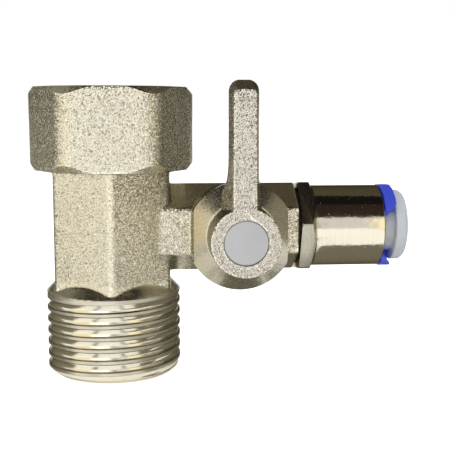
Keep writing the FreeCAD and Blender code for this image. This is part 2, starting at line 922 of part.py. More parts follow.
def make_outlet_fitting():
    body = new_body("outlet_fitting")
    place(body, None, s.branch_height)
    sketch = new_sketch(body, "hexagon_outline", "YZ_Plane", hexagon_start)
    sharp_hexagon(sketch, s.hexagon_flats, 180.0 - s.hexagon_turn)
    pad(body, "hexagon", sketch, s.hexagon_thick)
    sketch = new_sketch(body, "hexagon_bevel_profile", "XZ_Plane")
    corner = s.hexagon_corner_dia / 2
    over = s.hexagon_flats / ROOT_THREE * 1.1
    low = s.hexagon_flats / 2 - s.hexagon_bevel * 0.2
    outline(sketch, [
        (hexagon_start, corner),
        (hexagon_end - s.hexagon_bevel, corner),
        (hexagon_end, low),
        (hexagon_end, over),
        (hexagon_start, over),
    ])
    groove(body, "hexagon_bevels", sketch, "H_Axis")

    # threaded nose, shoulder relief and turned barrel
    sketch = new_sketch(body, "barrel_profile", "XZ_Plane")
    nose = s.chamber_dia / 2 - s.nose_fit
    barrel = s.barrel_dia / 2
    outline(sketch, [
        (seat_end, 0),
        (seat_end, nose),
        (hexagon_start, nose),
        (hexagon_end, nose),
        (hexagon_end, s.undercut_dia / 2),
        (barrel_start, barrel),
        (s.barrel_end - s.barrel_edge, barrel),
        (s.barrel_end, barrel - s.barrel_edge),
        (s.barrel_end, 0),
    ])
    revolve(body, "barrel", sketch, "H_Axis")

    # stepped bore: waterway, tube stop, ring gland, room for the grip, mouth
    sketch = new_sketch(body, "outlet_bore_profile", "XZ_Plane")
    grip = s.grip_room_dia / 2
    outline(sketch, [
        (seat_end, 0),
        (s.barrel_end, 0),
        (s.barrel_end, s.mouth_dia / 2),
        (s.barrel_end - s.mouth_length, s.mouth_dia / 2),
        (s.grip_taper_start, grip),
        (s.grip_start, grip),
        (s.grip_start, s.gland_dia / 2),
        (s.gland_start, s.gland_dia / 2),
        (s.gland_start, tube_bore),
        (s.tube_stop, tube_bore),
        (s.tube_stop, s.outlet_bore_dia / 2),
        (seat_end, s.outlet_bore_dia / 2),
    ])
    groove(body, "outlet_bore", sketch, "H_Axis")
    return body


def make_fitting_gasket():
    items = [
        (s.branch_end, s.chamber_dia / 2 - s.nose_fit / 2),
        (hexagon_start, s.chamber_dia / 2 - s.nose_fit / 2),
        (hexagon_start, s.gasket_dia / 2),
        (s.branch_end, s.gasket_dia / 2),
    ]
    return turned("fitting_gasket", "XZ_Plane", items, None, s.branch_height)


def make_tube_seal():
    gland = s.gland_dia / 2
    section = gland - tube_bore - s.seat_fit
    middle = (gland + tube_bore) / 2
    spacer_start = s.grip_start - s.tube_ring_spacer
    centre = (s.gland_start + spacer_start) / 2
    make_round_ring("tube_ring", "XZ_Plane", middle, section, centre, None, s.branch_height)
    items = [
        (spacer_start, tube_bore),
        (s.grip_start, tube_bore),
        (s.grip_start, gland - s.seat_fit),
        (spacer_start, gland - s.seat_fit),
    ]
    turned("tube_ring_spacer", "XZ_Plane", items, None, s.branch_height)


def make_collet():
    # sleeve with outward barbs inside and the press flange outside
    sleeve = s.collet_dia / 2
    barb = s.collet_barb_dia / 2
    start = s.collet_legs_start
    rim = s.collet_flange_dia / 2
    items = [
        (start, tube_bore),
        (start, barb - s.collet_edge),
        (start + s.collet_edge, barb),
        (start + s.collet_barb_length, barb),
        (start + s.collet_barb_length + (barb - sleeve), sleeve),
        (flange_start, sleeve),
        (flange_start, rim - s.collet_edge),
        (flange_start + s.collet_edge, rim),
        (collet_end - s.collet_edge, rim),
        (collet_end, rim - s.collet_edge),
        (collet_end, tube_bore + s.collet_edge * 2),
        (collet_end - s.collet_edge * 2, tube_bore),
    ]
    body = turned("collet", "XZ_Plane", items, None, s.branch_height)

    # slots that part the sleeve into four springing legs
    sketch = new_sketch(body, "collet_slot_outline", "YZ_Plane", start)
    half, wide = s.collet_slot_width / 2, s.collet_barb_dia
    rectangle(sketch, -half, 0, half, wide)
    slot = pocket(body, "collet_slot", sketch, s.collet_slot_length, back=True)
    around(body, "collet_slots", slot, 4)

    # recesses that hold the grip teeth, one in each leg
    sketch = new_sketch(body, "tooth_recess_outline", "YZ_Plane", start + s.tooth_place)
    tooth_outline(sketch, s.seat_fit)
    recess = pocket(body, "tooth_recess", sketch, s.tooth_thick + s.seat_fit * 2, back=True)
    around(body, "tooth_recesses", recess, 4)
    return body


# A tooth's outline seen along the tube: a curved root and a biting edge.
def tooth_outline(sketch, spare):
    spare = as_size(spare)
    bite = tube_bore + s.tooth_clear - spare
    head = tube_bore + s.tooth_root + spare
    half = s.tooth_width / 2 + spare
    inner = root(bite * bite - half * half)
    outer = root(head * head - half * half)
    slant = math.sqrt(0.5)
    a, b = inner * slant, half * slant
    c = outer * slant
    outline(sketch, [
        (a + b, a - b),
        (c + b, c - b),
        Bend(head, 1),
        (c - b, c + b),
        (a - b, a + b),
        Bend(bite, -1),
    ])


def around(body, name, feature, count):
    before = volume(body)
    pattern = body.newObject("PartDesign::PolarPattern", name)
    pattern.Originals = [feature]
    axes = {item.Role: item for item in body.Origin.OriginFeatures}
    pattern.Axis = (axes["X_Axis"], [""])
    pattern.Angle = 360.0
    pattern.Occurrences = count
    body.Tip = pattern
    if abs(volume(body) - before) <= 1e-6:
        raise RuntimeError(f"{body.Label}: {name} repeated nothing")
    return pattern


def make_grip_teeth():
    body = new_body("grip_teeth")
    place(body, None, s.branch_height)
    middle = s.collet_legs_start + s.tooth_place + s.seat_fit
    sketch = new_sketch(body, "tooth_profile", "YZ_Plane", middle)
    tooth_outline(sketch, 0)
    tooth = pad(body, "tooth", sketch, s.tooth_thick)
    around(body, "teeth", tooth, 4)
    return body


def make_locking_clip():
    body = new_body("locking_clip")
    place(body, None, s.branch_height)
    sketch = new_sketch(body, "clip_outline", "YZ_Plane", s.barrel_end + s.clip_side_gap)
    inner, outer = s.clip_bore_dia / 2, s.clip_dia / 2
    point = s.clip_tip_dia / 2
    low = 180.0 - s.clip_opening_turn + s.clip_half_opening
    high = 180.0 - s.clip_opening_turn - s.clip_half_opening
    lean = s.clip_tip_lean
    ends = (low, high + 360.0)
    far = (ends[0] + ends[1]) / 2
    outline(sketch, [
        (point * cosine(ends[0]), point * sine(ends[0])),
        (outer * cosine(ends[0] + lean), outer * sine(ends[0] + lean)),
        Bend(outer, 1),
        (outer * cosine(far), outer * sine(far)),
        Bend(outer, 1),
        (outer * cosine(ends[1] - lean), outer * sine(ends[1] - lean)),
        (point * cosine(ends[1]), point * sine(ends[1])),
        (inner * cosine(ends[1] - lean), inner * sine(ends[1] - lean)),
        Bend(inner, -1),
        (inner * cosine(far), inner * sine(far)),
        Bend(inner, -1),
        (inner * cosine(ends[0] + lean), inner * sine(ends[0] + lean)),
    ])
    pad(body, "clip_ring", sketch, s.clip_thick)

    # its two ends run out to points at the barrel's side
    start = s.barrel_end + s.clip_side_gap
    tip, edge = start + s.clip_point_width, start + s.clip_thick
    beyond, span = edge - tip, s.clip_point_length
    for name, end, step in (("clip_point_upper", high, 1), ("clip_point_lower", low, -1)):
        level = point * sine(end)
        sketch = new_sketch(body, name + "_outline", "XZ_Plane")
        outline(sketch, [
            (tip, level),
            (edge + beyond, level + span * step * 2),
            (edge + beyond, level - span * step * 0.4),
            (tip, level - span * step * 0.4),
        ])
        pocket(body, name, sketch, s.clip_dia / 2, back=True)
    return body


def build():
    make_body()
    make_inlet_washer()
    make_ball()
    make_seat("seat_inner", -1)
    make_seat("seat_outer", 1)
    make_stem()
    make_stem_rings()
    make_thrust_washer()
    make_lever()
    make_lever_screw()
    make_spring_washer()
    make_lever_cap()
    make_outlet_fitting()
    make_fitting_gasket()
    make_tube_seal()
    make_collet()
    make_grip_teeth()
    make_locking_clip()


def check_and_write():
    doc.recompute()
    for item in doc.Objects:
        if "Invalid" in item.State or "Error" in item.State:
            raise RuntimeError(f"{item.Label} failed to compute")
    os.makedirs("parts", exist_ok=True)
    bodies = [item for item in doc.Objects if item.TypeId == "PartDesign::Body"]
    for body in bodies:
        shape = body.Shape
        if shape.isNull() or not shape.isValid():
            raise RuntimeError(f"{body.Label} has no valid shape")
        box = shape.BoundBox
        print(f"{body.Label:18s} solids {len(shape.Solids)} volume {shape.Volume:9.2f} "
              f"x {box.XMin:6.2f}..{box.XMax:6.2f} y {box.YMin:6.2f}..{box.YMax:6.2f} "
              f"z {box.ZMin:6.2f}..{box.ZMax:6.2f}")
        shape.exportStep(f"parts/{body.Label}.step")


build()
check_and_write()
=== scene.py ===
import math
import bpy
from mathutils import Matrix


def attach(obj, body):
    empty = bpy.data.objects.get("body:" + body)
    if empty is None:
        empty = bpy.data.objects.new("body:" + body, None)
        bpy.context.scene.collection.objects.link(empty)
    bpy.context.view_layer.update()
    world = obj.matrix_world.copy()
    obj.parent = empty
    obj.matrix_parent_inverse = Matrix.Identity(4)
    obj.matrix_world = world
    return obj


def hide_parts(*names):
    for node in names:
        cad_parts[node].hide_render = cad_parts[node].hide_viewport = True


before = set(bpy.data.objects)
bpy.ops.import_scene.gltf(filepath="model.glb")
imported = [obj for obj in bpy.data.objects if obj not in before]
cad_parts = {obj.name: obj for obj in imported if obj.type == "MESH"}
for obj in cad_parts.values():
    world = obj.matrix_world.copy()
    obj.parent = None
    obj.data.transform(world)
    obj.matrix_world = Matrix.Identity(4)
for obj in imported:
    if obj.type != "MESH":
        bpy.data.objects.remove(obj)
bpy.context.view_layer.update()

from types import SimpleNamespace

import bmesh
import bpy
from bpy.props import FloatProperty, FloatVectorProperty, IntProperty, PointerProperty
from mathutils import Matrix, Vector

bl_info = {
    "name": "Splitter valve",
    "version": (1, 0, 0),
    "blender": (4, 5, 0),
    "location": "View3D > Sidebar > Valve",
    "description": "Dresses the two-way splitter valve: forging, threads, lever and tube outlet",
    "category": "Object",
}

# Sizes in the property groups are lengths in metres. Meshes are worked out in
# millimetres, and finish_piece turns them into metres.
MM = 1000.0
ROOT_THREE = math.sqrt(3.0)


def length(name, default, text):
    return FloatProperty(name=name, description=text, default=default, unit="LENGTH",
                         subtype="DISTANCE", precision=5, min=0.0)


def colour(name, default, text):
    return FloatVectorProperty(name=name, description=text, default=default, size=3,
                               subtype="COLOR", min=0.0, max=1.0)


def level(name, default, text, **more):
    return FloatProperty(name=name, description=text, default=default, min=0.0, **more)


class ForgingSizes(bpy.types.PropertyGroup):
    neck_start: length("Neck start", 0.01285, "Height of the shoulder's foot")
    shoulder_rise: length("Shoulder rise", 0.00175, "Height of the sloping shoulder")
    neck_flats: length("Neck flats", 0.0177, "Neck across its flats")
    neck_corner: length("Neck corner", 0.0012, "Rounding of the neck's long edges")
    head_start: length("Head start", 0.03184, "Height of the head's foot")
    head_end: length("Head end", 0.04449, "Height of the head's top face")
    head_flats: length("Head flats", 0.024, "Head across its flats")
    head_corner: length("Head corner", 0.0037, "Rounding of the front and back corners")
    head_side_corner: length("Head side corner", 0.008, "Rounding of the side corners")
    head_side_bevel: length("Head side bevel", 0.0012, "Flat trim of the side corners")
    head_face: length("Head face", 0.0242, "Diameter of the head's flat end faces")
    branch_height: length("Branch height", 0.02256, "Height of the branch axis")
    branch_flats: length("Branch flats", 0.0122, "Branch across its flats")
    branch_corner: length("Branch corner", 0.0006, "Rounding of the branch's long edges")
    branch_end: length("Branch end", 0.0288, "Where the branch ends along X")
    housing_place: length("Housing place", 0.019125, "Stem axis along X")
    housing_drop: length("Housing drop", 0.00145, "How far the rim lies behind the face")
    housing_diameter: length("Housing diameter", 0.0161, "Round housing at its front rim")
    housing_flats: length("Housing flats", 0.01395, "Housing across its two flats")
    housing_front: length("Housing front", 0.0129, "Depth of the housing's front face")
    housing_back: length("Housing back", 0.007, "Depth of the housing's back face")
    grid: length("Grid", 0.00022, "Size of the mesh's cells on the forging")


class BoreSizes(bpy.types.PropertyGroup):
    run: length("Run", 0.013, "Waterway of the run")
    socket_floor: length("Socket floor", 0.03314, "Height of the female socket's floor")
    relief: length("Relief", 0.0195, "Diameter of the relief under the female thread")
    relief_length: length("Relief length", 0.0024, "Length of that relief")
    socket_bevel: length("Socket bevel", 0.0012, "Bevel at the socket's mouth")
    chamber: length("Chamber", 0.0086, "Ball chamber and outlet thread")
    chamber_floor: length("Chamber floor", 0.014125, "Where the chamber ends along X")
    port: length("Port", 0.005, "Port between run and chamber")
    stem: length("Stem", 0.00462, "Stem hole")


class ThreadSizes(bpy.types.PropertyGroup):
    pitch: length("Pitch", 0.001814, "Distance between turns")
    major: length("Major", 0.020955, "Diameter over the male crests")
    minor: length("Minor", 0.018631, "Diameter over the female crests")
    male_root: length("Male root", 0.02016, "Diameter at the male roots")
    male_crest: length("Male crest", 0.01064, "Height of a male crest at the front")
    end_bevel: length("End bevel", 0.00108, "Bevel at the male thread's end")
    around: IntProperty(name="Around", description="Mesh steps round a thread",
                        default=192, min=24)


class LeverSizes(bpy.types.PropertyGroup):
    front: length("Front", 0.01876, "Depth of the lever's front face")
    back: length("Back", 0.0132, "Depth of the hub's back face")
    web_front: length("Web front", 0.0154, "Depth of the web that the screw clamps")
    hub: length("Hub", 0.01006, "Diameter of the hub at its front")
    reach: length("Reach", 0.02142, "Arm's length from the stem axis")
    tip_width: length("Tip width", 0.0032, "Arm's width at its tip")
    root_width: length("Root width", 0.00339, "Arm's width at its root")
    offset: length("Offset", 0.0002, "How far the arm stands towards the run")
    thickness: length("Thickness", 0.00256, "Arm's thickness")
    tip_slope: length("Tip slope", 0.00133, "How far the tip's end face slopes back")
    draft: length("Draft", 0.00056, "How much wider each side is at the arm's back")
    tip_corner: length("Tip corner", 0.0007, "Rounding of the tip's corners")
    flare: length("Flare", 0.0008, "Radius between arm and hub")
    root_start: length("Root start", 0.0113, "Where the arm starts to thicken")
    root_curve: length("Root curve", 0.0048, "Radius of that thickening")
    edge: length("Edge", 0.00015, "Bevel along the arm's front edges")
    cap: length("Cap", 0.0063, "Diameter of the cap")
    grid: length("Grid", 0.00012, "Size of the mesh's cells on the lever")


class OutletSizes(bpy.types.PropertyGroup):
    hexagon_start: length("Hexagon start", 0.02902, "Where the hexagon starts along X")
    hexagon_end: length("Hexagon end", 0.03127, "Where the hexagon ends along X")
    hexagon_flats: length("Hexagon flats", 0.0136, "Hexagon across its flats")
    hexagon_corners: length("Hexagon corners", 0.0155, "Hexagon across its turned corners")
    barrel: length("Barrel", 0.01288, "Diameter of the barrel")
    barrel_start: length("Barrel start", 0.03152, "Where the barrel starts along X")
    barrel_end: length("Barrel end", 0.04242, "Where the barrel ends along X")
    tube: length("Tube", 0.00649, "Diameter of the tube bore")
    clip: length("Clip", 0.0132, "Diameter of the locking clip")
    clip_bore: length("Clip bore", 0.0085, "Hole of the locking clip")
    clip_thickness: length("Clip thickness", 0.00178, "Thickness of the locking clip")
    clip_point: length("Clip point", 0.0018, "How far the clip's ends taper")
    collet: length("Collet", 0.0083, "Diameter of the collet's sleeve")
    collet_flange: length("Collet flange", 0.0112, "Diameter of the collet's flange")
    collet_rim: length("Collet rim", 0.0444, "Where the collet's flange starts along X")
    collet_end: length("Collet end", 0.0463, "Where the collet ends along X")


class FinishColours(bpy.types.PropertyGroup):
    forging: colour("Forging", (0.79, 0.757, 0.632), "Blasted plated forging")
    forging_shade: colour("Forging shade", (0.64, 0.60, 0.475), "Hollows of the blasted grain")
    turned: colour("Turned", (0.72, 0.68, 0.55), "Turned plated surfaces")
    # a painted golden reflection, laid on the side of the housing's turned face towards the run
    painted_gold_reflection: colour("Turned, warm", (0.70, 0.61, 0.40), "Warmer plating of turned faces")
    lever: colour("Lever", (0.735, 0.70, 0.62), "Blasted lever")
    cap: colour("Cap", (0.57, 0.57, 0.58), "Pale cap")
    clip: colour("Clip", (0.045, 0.075, 0.72), "Blue clip")
    collet: colour("Collet", (0.65, 0.68, 0.71), "Grey collet")
    rubber: colour("Rubber", (0.012, 0.011, 0.010), "Black rubber")


class StudioSettings(bpy.types.PropertyGroup):
    key: level("Key", 0.12, "Power of the lamp beside the camera", unit="POWER")
    fill: level("Fill", 0.3, "Power of the lamp from the left", unit="POWER")
    back: level("Back", 0.3, "Power of the lamp behind", unit="POWER")
    top: level("Top", 0.3, "Power of the lamp above", unit="POWER")
    ambient: level("Ambient", 0.7, "World light on matt surfaces")
    floor_lift: level("Floor lift", 0.6, "Light the floor adds for the camera")
    floor: level("Floor", 0.9, "Brightness of the pale floor", max=1.0)


def settings_of(group):
    return [key for key in group.bl_rna.properties.keys() if key not in ("rna_type", "name")]


# Copies of the named groups of sizes, with their lengths in millimetres.
def sizes_in_millimetres(*names):
    copies = []
    for name in names:
        group = getattr(bpy.context.scene, "valve_" + name)
        values = {key: getattr(group, key) for key in settings_of(group)}
        copies.append(SimpleNamespace(**{
            key: value * MM if isinstance(value, float) else value
            for key, value in values.items()}))
    return copies


# Mesh work, in millimetres


def new_object(name, bm):
    mesh = bpy.data.meshes.new(name)
    bm.to_mesh(mesh)
    bm.free()
    obj = bpy.data.objects.new(name, mesh)
    bpy.context.scene.collection.objects.link(obj)
    return obj


def remove(*objects):
    for obj in objects:
        mesh = obj.data
        bpy.data.objects.remove(obj)
        bpy.data.meshes.remove(mesh)


def arc(centre, radius, start, end, steps):
    points = []
    for i in range(steps + 1):
        angle = start + (end - start) * i / steps
        points.append((centre[0] + radius * math.cos(angle),
                       centre[1] + radius * math.sin(angle)))
    return points


def rounded_hexagon(flats, corners, turn, steps=10):
    points = []
    for i in range(6):
        middle = math.radians(turn + 60.0 * i)
        reach = (flats / 2 - corners[i]) * 2 / ROOT_THREE
        centre = (reach * math.cos(middle), reach * math.sin(middle))
        points += arc(centre, corners[i], middle - math.radians(30),
                      middle + math.radians(30), steps)
    return points


# A closed prism: place(u, v, w) puts outline point (u, v) at height w.
def prism(name, rings, place):
    bm = bmesh.new()
    loops = []
    for outline, height in rings:
        loops.append([bm.verts.new(place(u, v, height)) for u, v in outline])
    for low, high in zip(loops, loops[1:]):
        for i in range(len(low)):
            j = (i + 1) % len(low)
            bm.faces.new((low[i], low[j], high[j], high[i]))
    bm.faces.new(list(reversed(loops[0])))
    bm.faces.new(loops[-1])
    bmesh.ops.recalc_face_normals(bm, faces=bm.faces)
    return new_object(name, bm)


# One outline drawn out between two heights.
def bar(name, outline, ends, place):
    return prism(name, [(outline, end) for end in ends], place)


def along_z(u, v, w):
    return (u, v, w)


def along_x(height):
    return lambda u, v, w: (w, u, height + v)


def along_y(place, height):
    return lambda u, v, w: (place + u, -w, height + v)


# A point of a profile that is nearer than this to the axis lies on it.
ON_AXIS = 1e-9


# A turned solid from a profile of (radius, distance) points. Points at radius
# zero close it; a profile that keeps off the axis is a closed ring.
def lathe(name, profile, place, steps=160):
    bm = bmesh.new()
    rows = []
    for radius, height in profile:
        count = steps if radius > ON_AXIS else 1
        angles = [2 * math.pi * i / steps for i in range(count)]
        rows.append([bm.verts.new(place(radius * math.cos(angle),
                                        radius * math.sin(angle), height))
                     for angle in angles])
    pairs = list(zip(rows, rows[1:]))
    if all(radius > ON_AXIS for radius, _ in profile):
        pairs.append((rows[-1], rows[0]))
    for a, b in pairs:
        if len(a) == 1 and len(b) == 1:
            continue
        for i in range(steps):
            j = (i + 1) % steps
            if len(a) == 1:
                bm.faces.new((a[0], b[j], b[i]))
            elif len(b) == 1:
                bm.faces.new((a[i], a[j], b[0]))
            else:
                bm.faces.new((a[i], a[j], b[j], b[i]))
    bmesh.ops.recalc_face_normals(bm, faces=bm.faces)
    return new_object(name, bm)


# Rounds the corners of a turned profile with small arcs.
def soften(profile, radius, steps=3, closed=True):
    count = len(profile)
    points = []
    for i in range(count):
        here = Vector(profile[i])
        before = Vector(profile[i - 1])
        after = Vector(profile[(i + 1) % count])
        ends = i in (0, count - 1) and not closed
        a, b = before - here, after - here
        straight = abs(a.normalized().cross(b.normalized())) < 0.02
        if ends or here.x <= ON_AXIS or straight:
            points.append(tuple(here))
            continue
        cut = min(radius, a.length * 0.45, b.length * 0.45)
        start = here + a.normalized() * cut
        end = here + b.normalized() * cut
        for k in range(steps + 1):
            t = k / steps
            p = start * (1 - t) ** 2 + here * 2 * t * (1 - t) + end * t ** 2
            points.append(tuple(p))
    return points


def evaluated(obj, name):
    graph = bpy.context.evaluated_depsgraph_get()
    mesh = bpy.data.meshes.new_from_object(obj.evaluated_get(graph), depsgraph=graph)
    mesh.name = name
    old = obj.data
    obj.modifiers.clear()
    obj.data = mesh
    bpy.data.meshes.remove(old)
    return obj


def combine(target, tool, operation):
    modifier = target.modifiers.new("combine", "BOOLEAN")
    modifier.operation = operation
    modifier.solver = "MANIFOLD"
    modifier.object = tool
    evaluated(target, target.name)
    remove(tool)
    return target


def merged(name, *objects):
    bm = bmesh.new()
    for obj in objects:
        bm.from_mesh(obj.data)
    remove(*objects)
    return new_object(name, bm)


# Fuses overlapping solids into one skin of even cells and softens its edges.
def soft_skin(obj, grid, rounds):
    skin = obj.modifiers.new("skin", "REMESH")
    skin.mode = "VOXEL"
    skin.voxel_size = grid
    skin.adaptivity = 0.0
    smooth = obj.modifiers.new("smooth", "SMOOTH")
    smooth.factor = 0.5
    smooth.iterations = rounds
    return evaluated(obj, obj.name)


# Turns a working mesh into a finished piece: metres, smooth with crisp edges.
def finish_piece(obj, angle, materials, body, nodes):
    mesh = obj.data
    mesh.transform(Matrix.Scale(1.0 / MM, 4))
    mesh.materials.clear()
    for material in materials:
        mesh.materials.append(material)
    for polygon in mesh.polygons:
        polygon.use_smooth = True
    mesh.set_sharp_from_angle(angle=math.radians(angle))
    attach(obj, body)
    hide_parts(*nodes)


# Shader node helpers and shared effects


# Adds nodes to one tree. A value is a constant or another node's output.
class Nodes:
    def __init__(self, tree):
        self.tree = tree

    def add(self, kind, **settings):
        node = self.tree.nodes.new(kind)
        for key, value in settings.items():
            setattr(node, key, value)
        return node

    def put(self, socket, value):
        if hasattr(value, "links"):
            self.tree.links.new(value, socket)
        else:
            socket.default_value = value

    def fill(self, node, *values, **named):
        for socket, value in zip(node.inputs, values):
            self.put(socket, value)
        for key, value in named.items():
            self.put(node.inputs[key.replace("_", " ")], value)
        return node

    def math(self, operation, *values):
        return self.fill(self.add("ShaderNodeMath", operation=operation), *values).outputs[0]

    # The first value plus a share of the second.
    def plus(self, first, second, share):
        return self.math("ADD", first, self.math("MULTIPLY", second, share))

    def vector(self, operation, *values):
        node = self.fill(self.add("ShaderNodeVectorMath", operation=operation), *values)
        return node.outputs["Value" if operation in ("LENGTH", "DOT_PRODUCT") else "Vector"]

    def axis(self, vector, name):
        return self.fill(self.add("ShaderNodeSeparateXYZ"), vector).outputs[name]

    def mix(self, factor, a, b):
        node = self.add("ShaderNodeMix", data_type="RGBA")
        for index, value in ((0, factor), (6, a), (7, b)):
            self.put(node.inputs[index], value)
        return node.outputs[2]

    def range(self, value, low, high, to_low, to_high):
        node = self.add("ShaderNodeMapRange")
        return self.fill(node, value, low, high, to_low, to_high).outputs["Result"]

    def noise(self, spot, scale, **settings):
        node = self.add("ShaderNodeTexNoise")
        return self.fill(node, Vector=spot, Scale=scale, **settings).outputs["Fac"]

    def cells(self, spot, scale):
        node = self.add("ShaderNodeTexVoronoi", feature="F1")
        return self.fill(node, Vector=spot, Scale=scale).outputs

    def bump(self, height, distance, **more):
        node = self.add("ShaderNodeBump")
        return self.fill(node, Height=height, Distance=distance, **more).outputs["Normal"]

    def group(self, tree, **values):
        return self.fill(self.add("ShaderNodeGroup", node_tree=tree), **values).outputs


# Sockets are given as label, kind and default.
def new_group(name, inputs, outputs, kind="ShaderNodeTree"):
    tree = bpy.data.node_groups.new(name, kind)
    for way, sockets in (("INPUT", inputs), ("OUTPUT", outputs)):
        for label, sort, default in sockets:
            socket = tree.interface.new_socket(label, in_out=way,
                                               socket_type="NodeSocket" + sort)
            if default is not None:
                socket.default_value = default
    n = Nodes(tree)
    return tree, n, n.add("NodeGroupInput").outputs, n.add("NodeGroupOutput").inputs


# A node group that is built on its first use and found again after that.
def built_once(build):
    def get():
        name = build.__name__
        return bpy.data.node_groups.get(name) or build(name)
    return get


# Blasted grain: small tilted facets and fine pits with a coarser unevenness.
@built_once
def blasted_grain(name):
    tree, n, given, out = new_group(
        name,
        [("Position", "Vector", None), ("Cells", "Float", 6000.0), ("Coarse", "Float", 0.35)],
        [("Height", "Float", None), ("Pits", "Float", None), ("Patches", "Float", None)])
    spot, scale = given["Position"], given["Cells"]
    fine = n.noise(spot, n.math("MULTIPLY", scale, 1.7), Detail=1.0, Roughness=0.6)
    coarse = n.noise(spot, n.math("MULTIPLY", scale, 0.12), Detail=2.0)
    cells = n.cells(spot, scale)
    pits = n.plus(n.math("MULTIPLY", fine, 0.5), cells["Distance"], 0.8)
    # each cell is a small facet with its own tilt
    tilt = n.vector("SUBTRACT", cells["Color"], (0.5, 0.5, 0.5))
    away = n.vector("SUBTRACT", spot, cells["Position"])
    facets = n.math("MULTIPLY", n.vector("DOT_PRODUCT", tilt, away), scale)
    n.put(out["Height"], n.plus(n.plus(facets, pits, 0.35), coarse, given["Coarse"]))
    n.put(out["Pits"], n.range(pits, 0.35, 0.95, 0.0, 1.0))
    n.put(out["Patches"], n.range(coarse, 0.35, 0.65, 0.0, 1.0))
    return tree


# Turning marks: fine rings along one axis, broken up a little round it.
@built_once
def turning_marks(name):
    tree, n, given, out = new_group(
        name,
        [("Position", "Vector", None), ("Stretch", "Vector", None), ("Rings", "Float", 9000.0)],
        [("Height", "Float", None), ("Rings", "Float", None)])
    scaled = n.vector("MULTIPLY", given["Position"], given["Stretch"])
    rings = n.noise(scaled, given["Rings"], Detail=3.0, Roughness=0.6)
    specks = n.noise(given["Position"], 3200.0, Detail=2.0)
    n.put(out["Height"], n.plus(rings, specks, 0.25))
    n.put(out["Rings"], n.range(rings, 0.3, 0.7, 0.0, 1.0))
    return tree


# Sharp edges: a mask from the surface's own sharpness. There the metal gets a little smoother,
# as handling polishes edges, and brighter than any plating, a painted highlight.
@built_once
def edge_polish_and_highlight(name):
    tree, n, given, out = new_group(
        name, [("Low", "Float", 0.505), ("High", "Float", 0.54)], [("Mask", "Float", None)])
    sharpness = n.add("ShaderNodeNewGeometry").outputs["Pointiness"]
    n.put(out["Mask"], n.range(sharpness, given["Low"], given["High"], 0.0, 1.0))
    return tree


def rgba(colour, k=1.0):
    return (colour[0] * k, colour[1] * k, colour[2] * k, 1.0)


def new_material(name, **constants):
    material = bpy.data.materials.new(name)
    material.use_nodes = True
    n = Nodes(material.node_tree)
    return material, n, n.fill(material.node_tree.nodes["Principled BSDF"], **constants)


# How bright a metal stays where it is seen edge-on.
PLATING_EDGE = (0.45, 0.43, 0.38)
BARE_METAL_EDGE = (0.9, 0.9, 0.9)


# A metal's material, with the place on the piece that its patterns read.
def new_metal(name, edge=PLATING_EDGE):
    material, n, shader = new_material(name, Metallic=1.0, Specular_Tint=rgba(edge))
    return material, n, shader, n.add("ShaderNodeTexCoord").outputs["Object"]


def blasted_metal(name, light, dark, cells, depth, roughness=0.17):
    material, n, shader, spot = new_metal(name)
    grain = n.group(blasted_grain(), Position=spot, Cells=cells, Coarse=0.15)
    edges = n.group(edge_polish_and_highlight())["Mask"]
    upright = n.math("ABSOLUTE",
                     n.axis(n.add("ShaderNodeNewGeometry").outputs["Normal"], "Z"))
    # turned shoulder and bevels, and top faces, are smoother than the sides
    relief = n.math("MULTIPLY", n.range(n.axis(spot, "Z"), 0.0146, 0.0151, 0.5, 1.0),
                    n.range(upright, 0.35, 0.7, 1.0, 0.3))
    body = n.mix(grain["Pits"], rgba(light), rgba(dark))
    patched = n.mix(n.math("MULTIPLY", grain["Patches"], 0.12), body, rgba(light, 0.8))
    rough = n.range(grain["Pits"], 0.0, 1.0, roughness - 0.06, roughness + 0.10)
    # sharp edges get up to 1.35 times the plating's colour: a painted highlight, with real
    # polish in their lower roughness
    n.fill(shader,
           Base_Color=n.mix(n.math("MULTIPLY", edges, 0.85), patched, rgba(light, 1.35)),
           Roughness=n.math("SUBTRACT", rough, n.math("MULTIPLY", edges, 0.06)),
           Normal=n.bump(n.math("MULTIPLY", grain["Height"], relief), depth))
    return material


# A ripple adds the waves and dull specks of a drawn bar.
def turned_metal(name, light, stretch, rings, depth, roughness, edge=PLATING_EDGE,
                 ripple=0.0):
    material, n, shader, spot = new_metal(name, edge)
    marks = n.group(turning_marks(), Position=spot, Stretch=stretch, Rings=rings)
    rough = n.range(marks["Rings"], 0.0, 1.0, roughness - 0.05, roughness + 0.07)
    normal = n.bump(marks["Height"], depth)
    if ripple:
        specks = n.cells(spot, 1300.0)["Distance"]
        rough = n.math("ADD", rough, n.range(specks, 0.08, 0.13, 0.4, 0.0))
        normal = n.bump(n.noise(spot, 900.0), ripple, Normal=normal)
    shade = n.mix(n.math("MULTIPLY", marks["Rings"], 0.5), rgba(light), rgba(light, 0.82))
    n.fill(shader, Base_Color=shade, Roughness=rough, Normal=normal)
    return material


def moulded_plastic(name, tone, roughness, cells, depth):
    material, n, shader = new_material(name)
    spot = n.add("ShaderNodeTexCoord").outputs["Object"]
    grain = n.noise(spot, cells, Detail=3.0)
    clouds = n.range(n.noise(spot, cells * 0.08), 0.35, 0.65, 0.0, 1.0)
    n.fill(shader, Base_Color=n.mix(clouds, rgba(tone, 1.06), rgba(tone, 0.92)),
           Roughness=n.range(grain, 0.3, 0.7, roughness - 0.05, roughness + 0.08),
           Normal=n.bump(grain, depth))
    return material


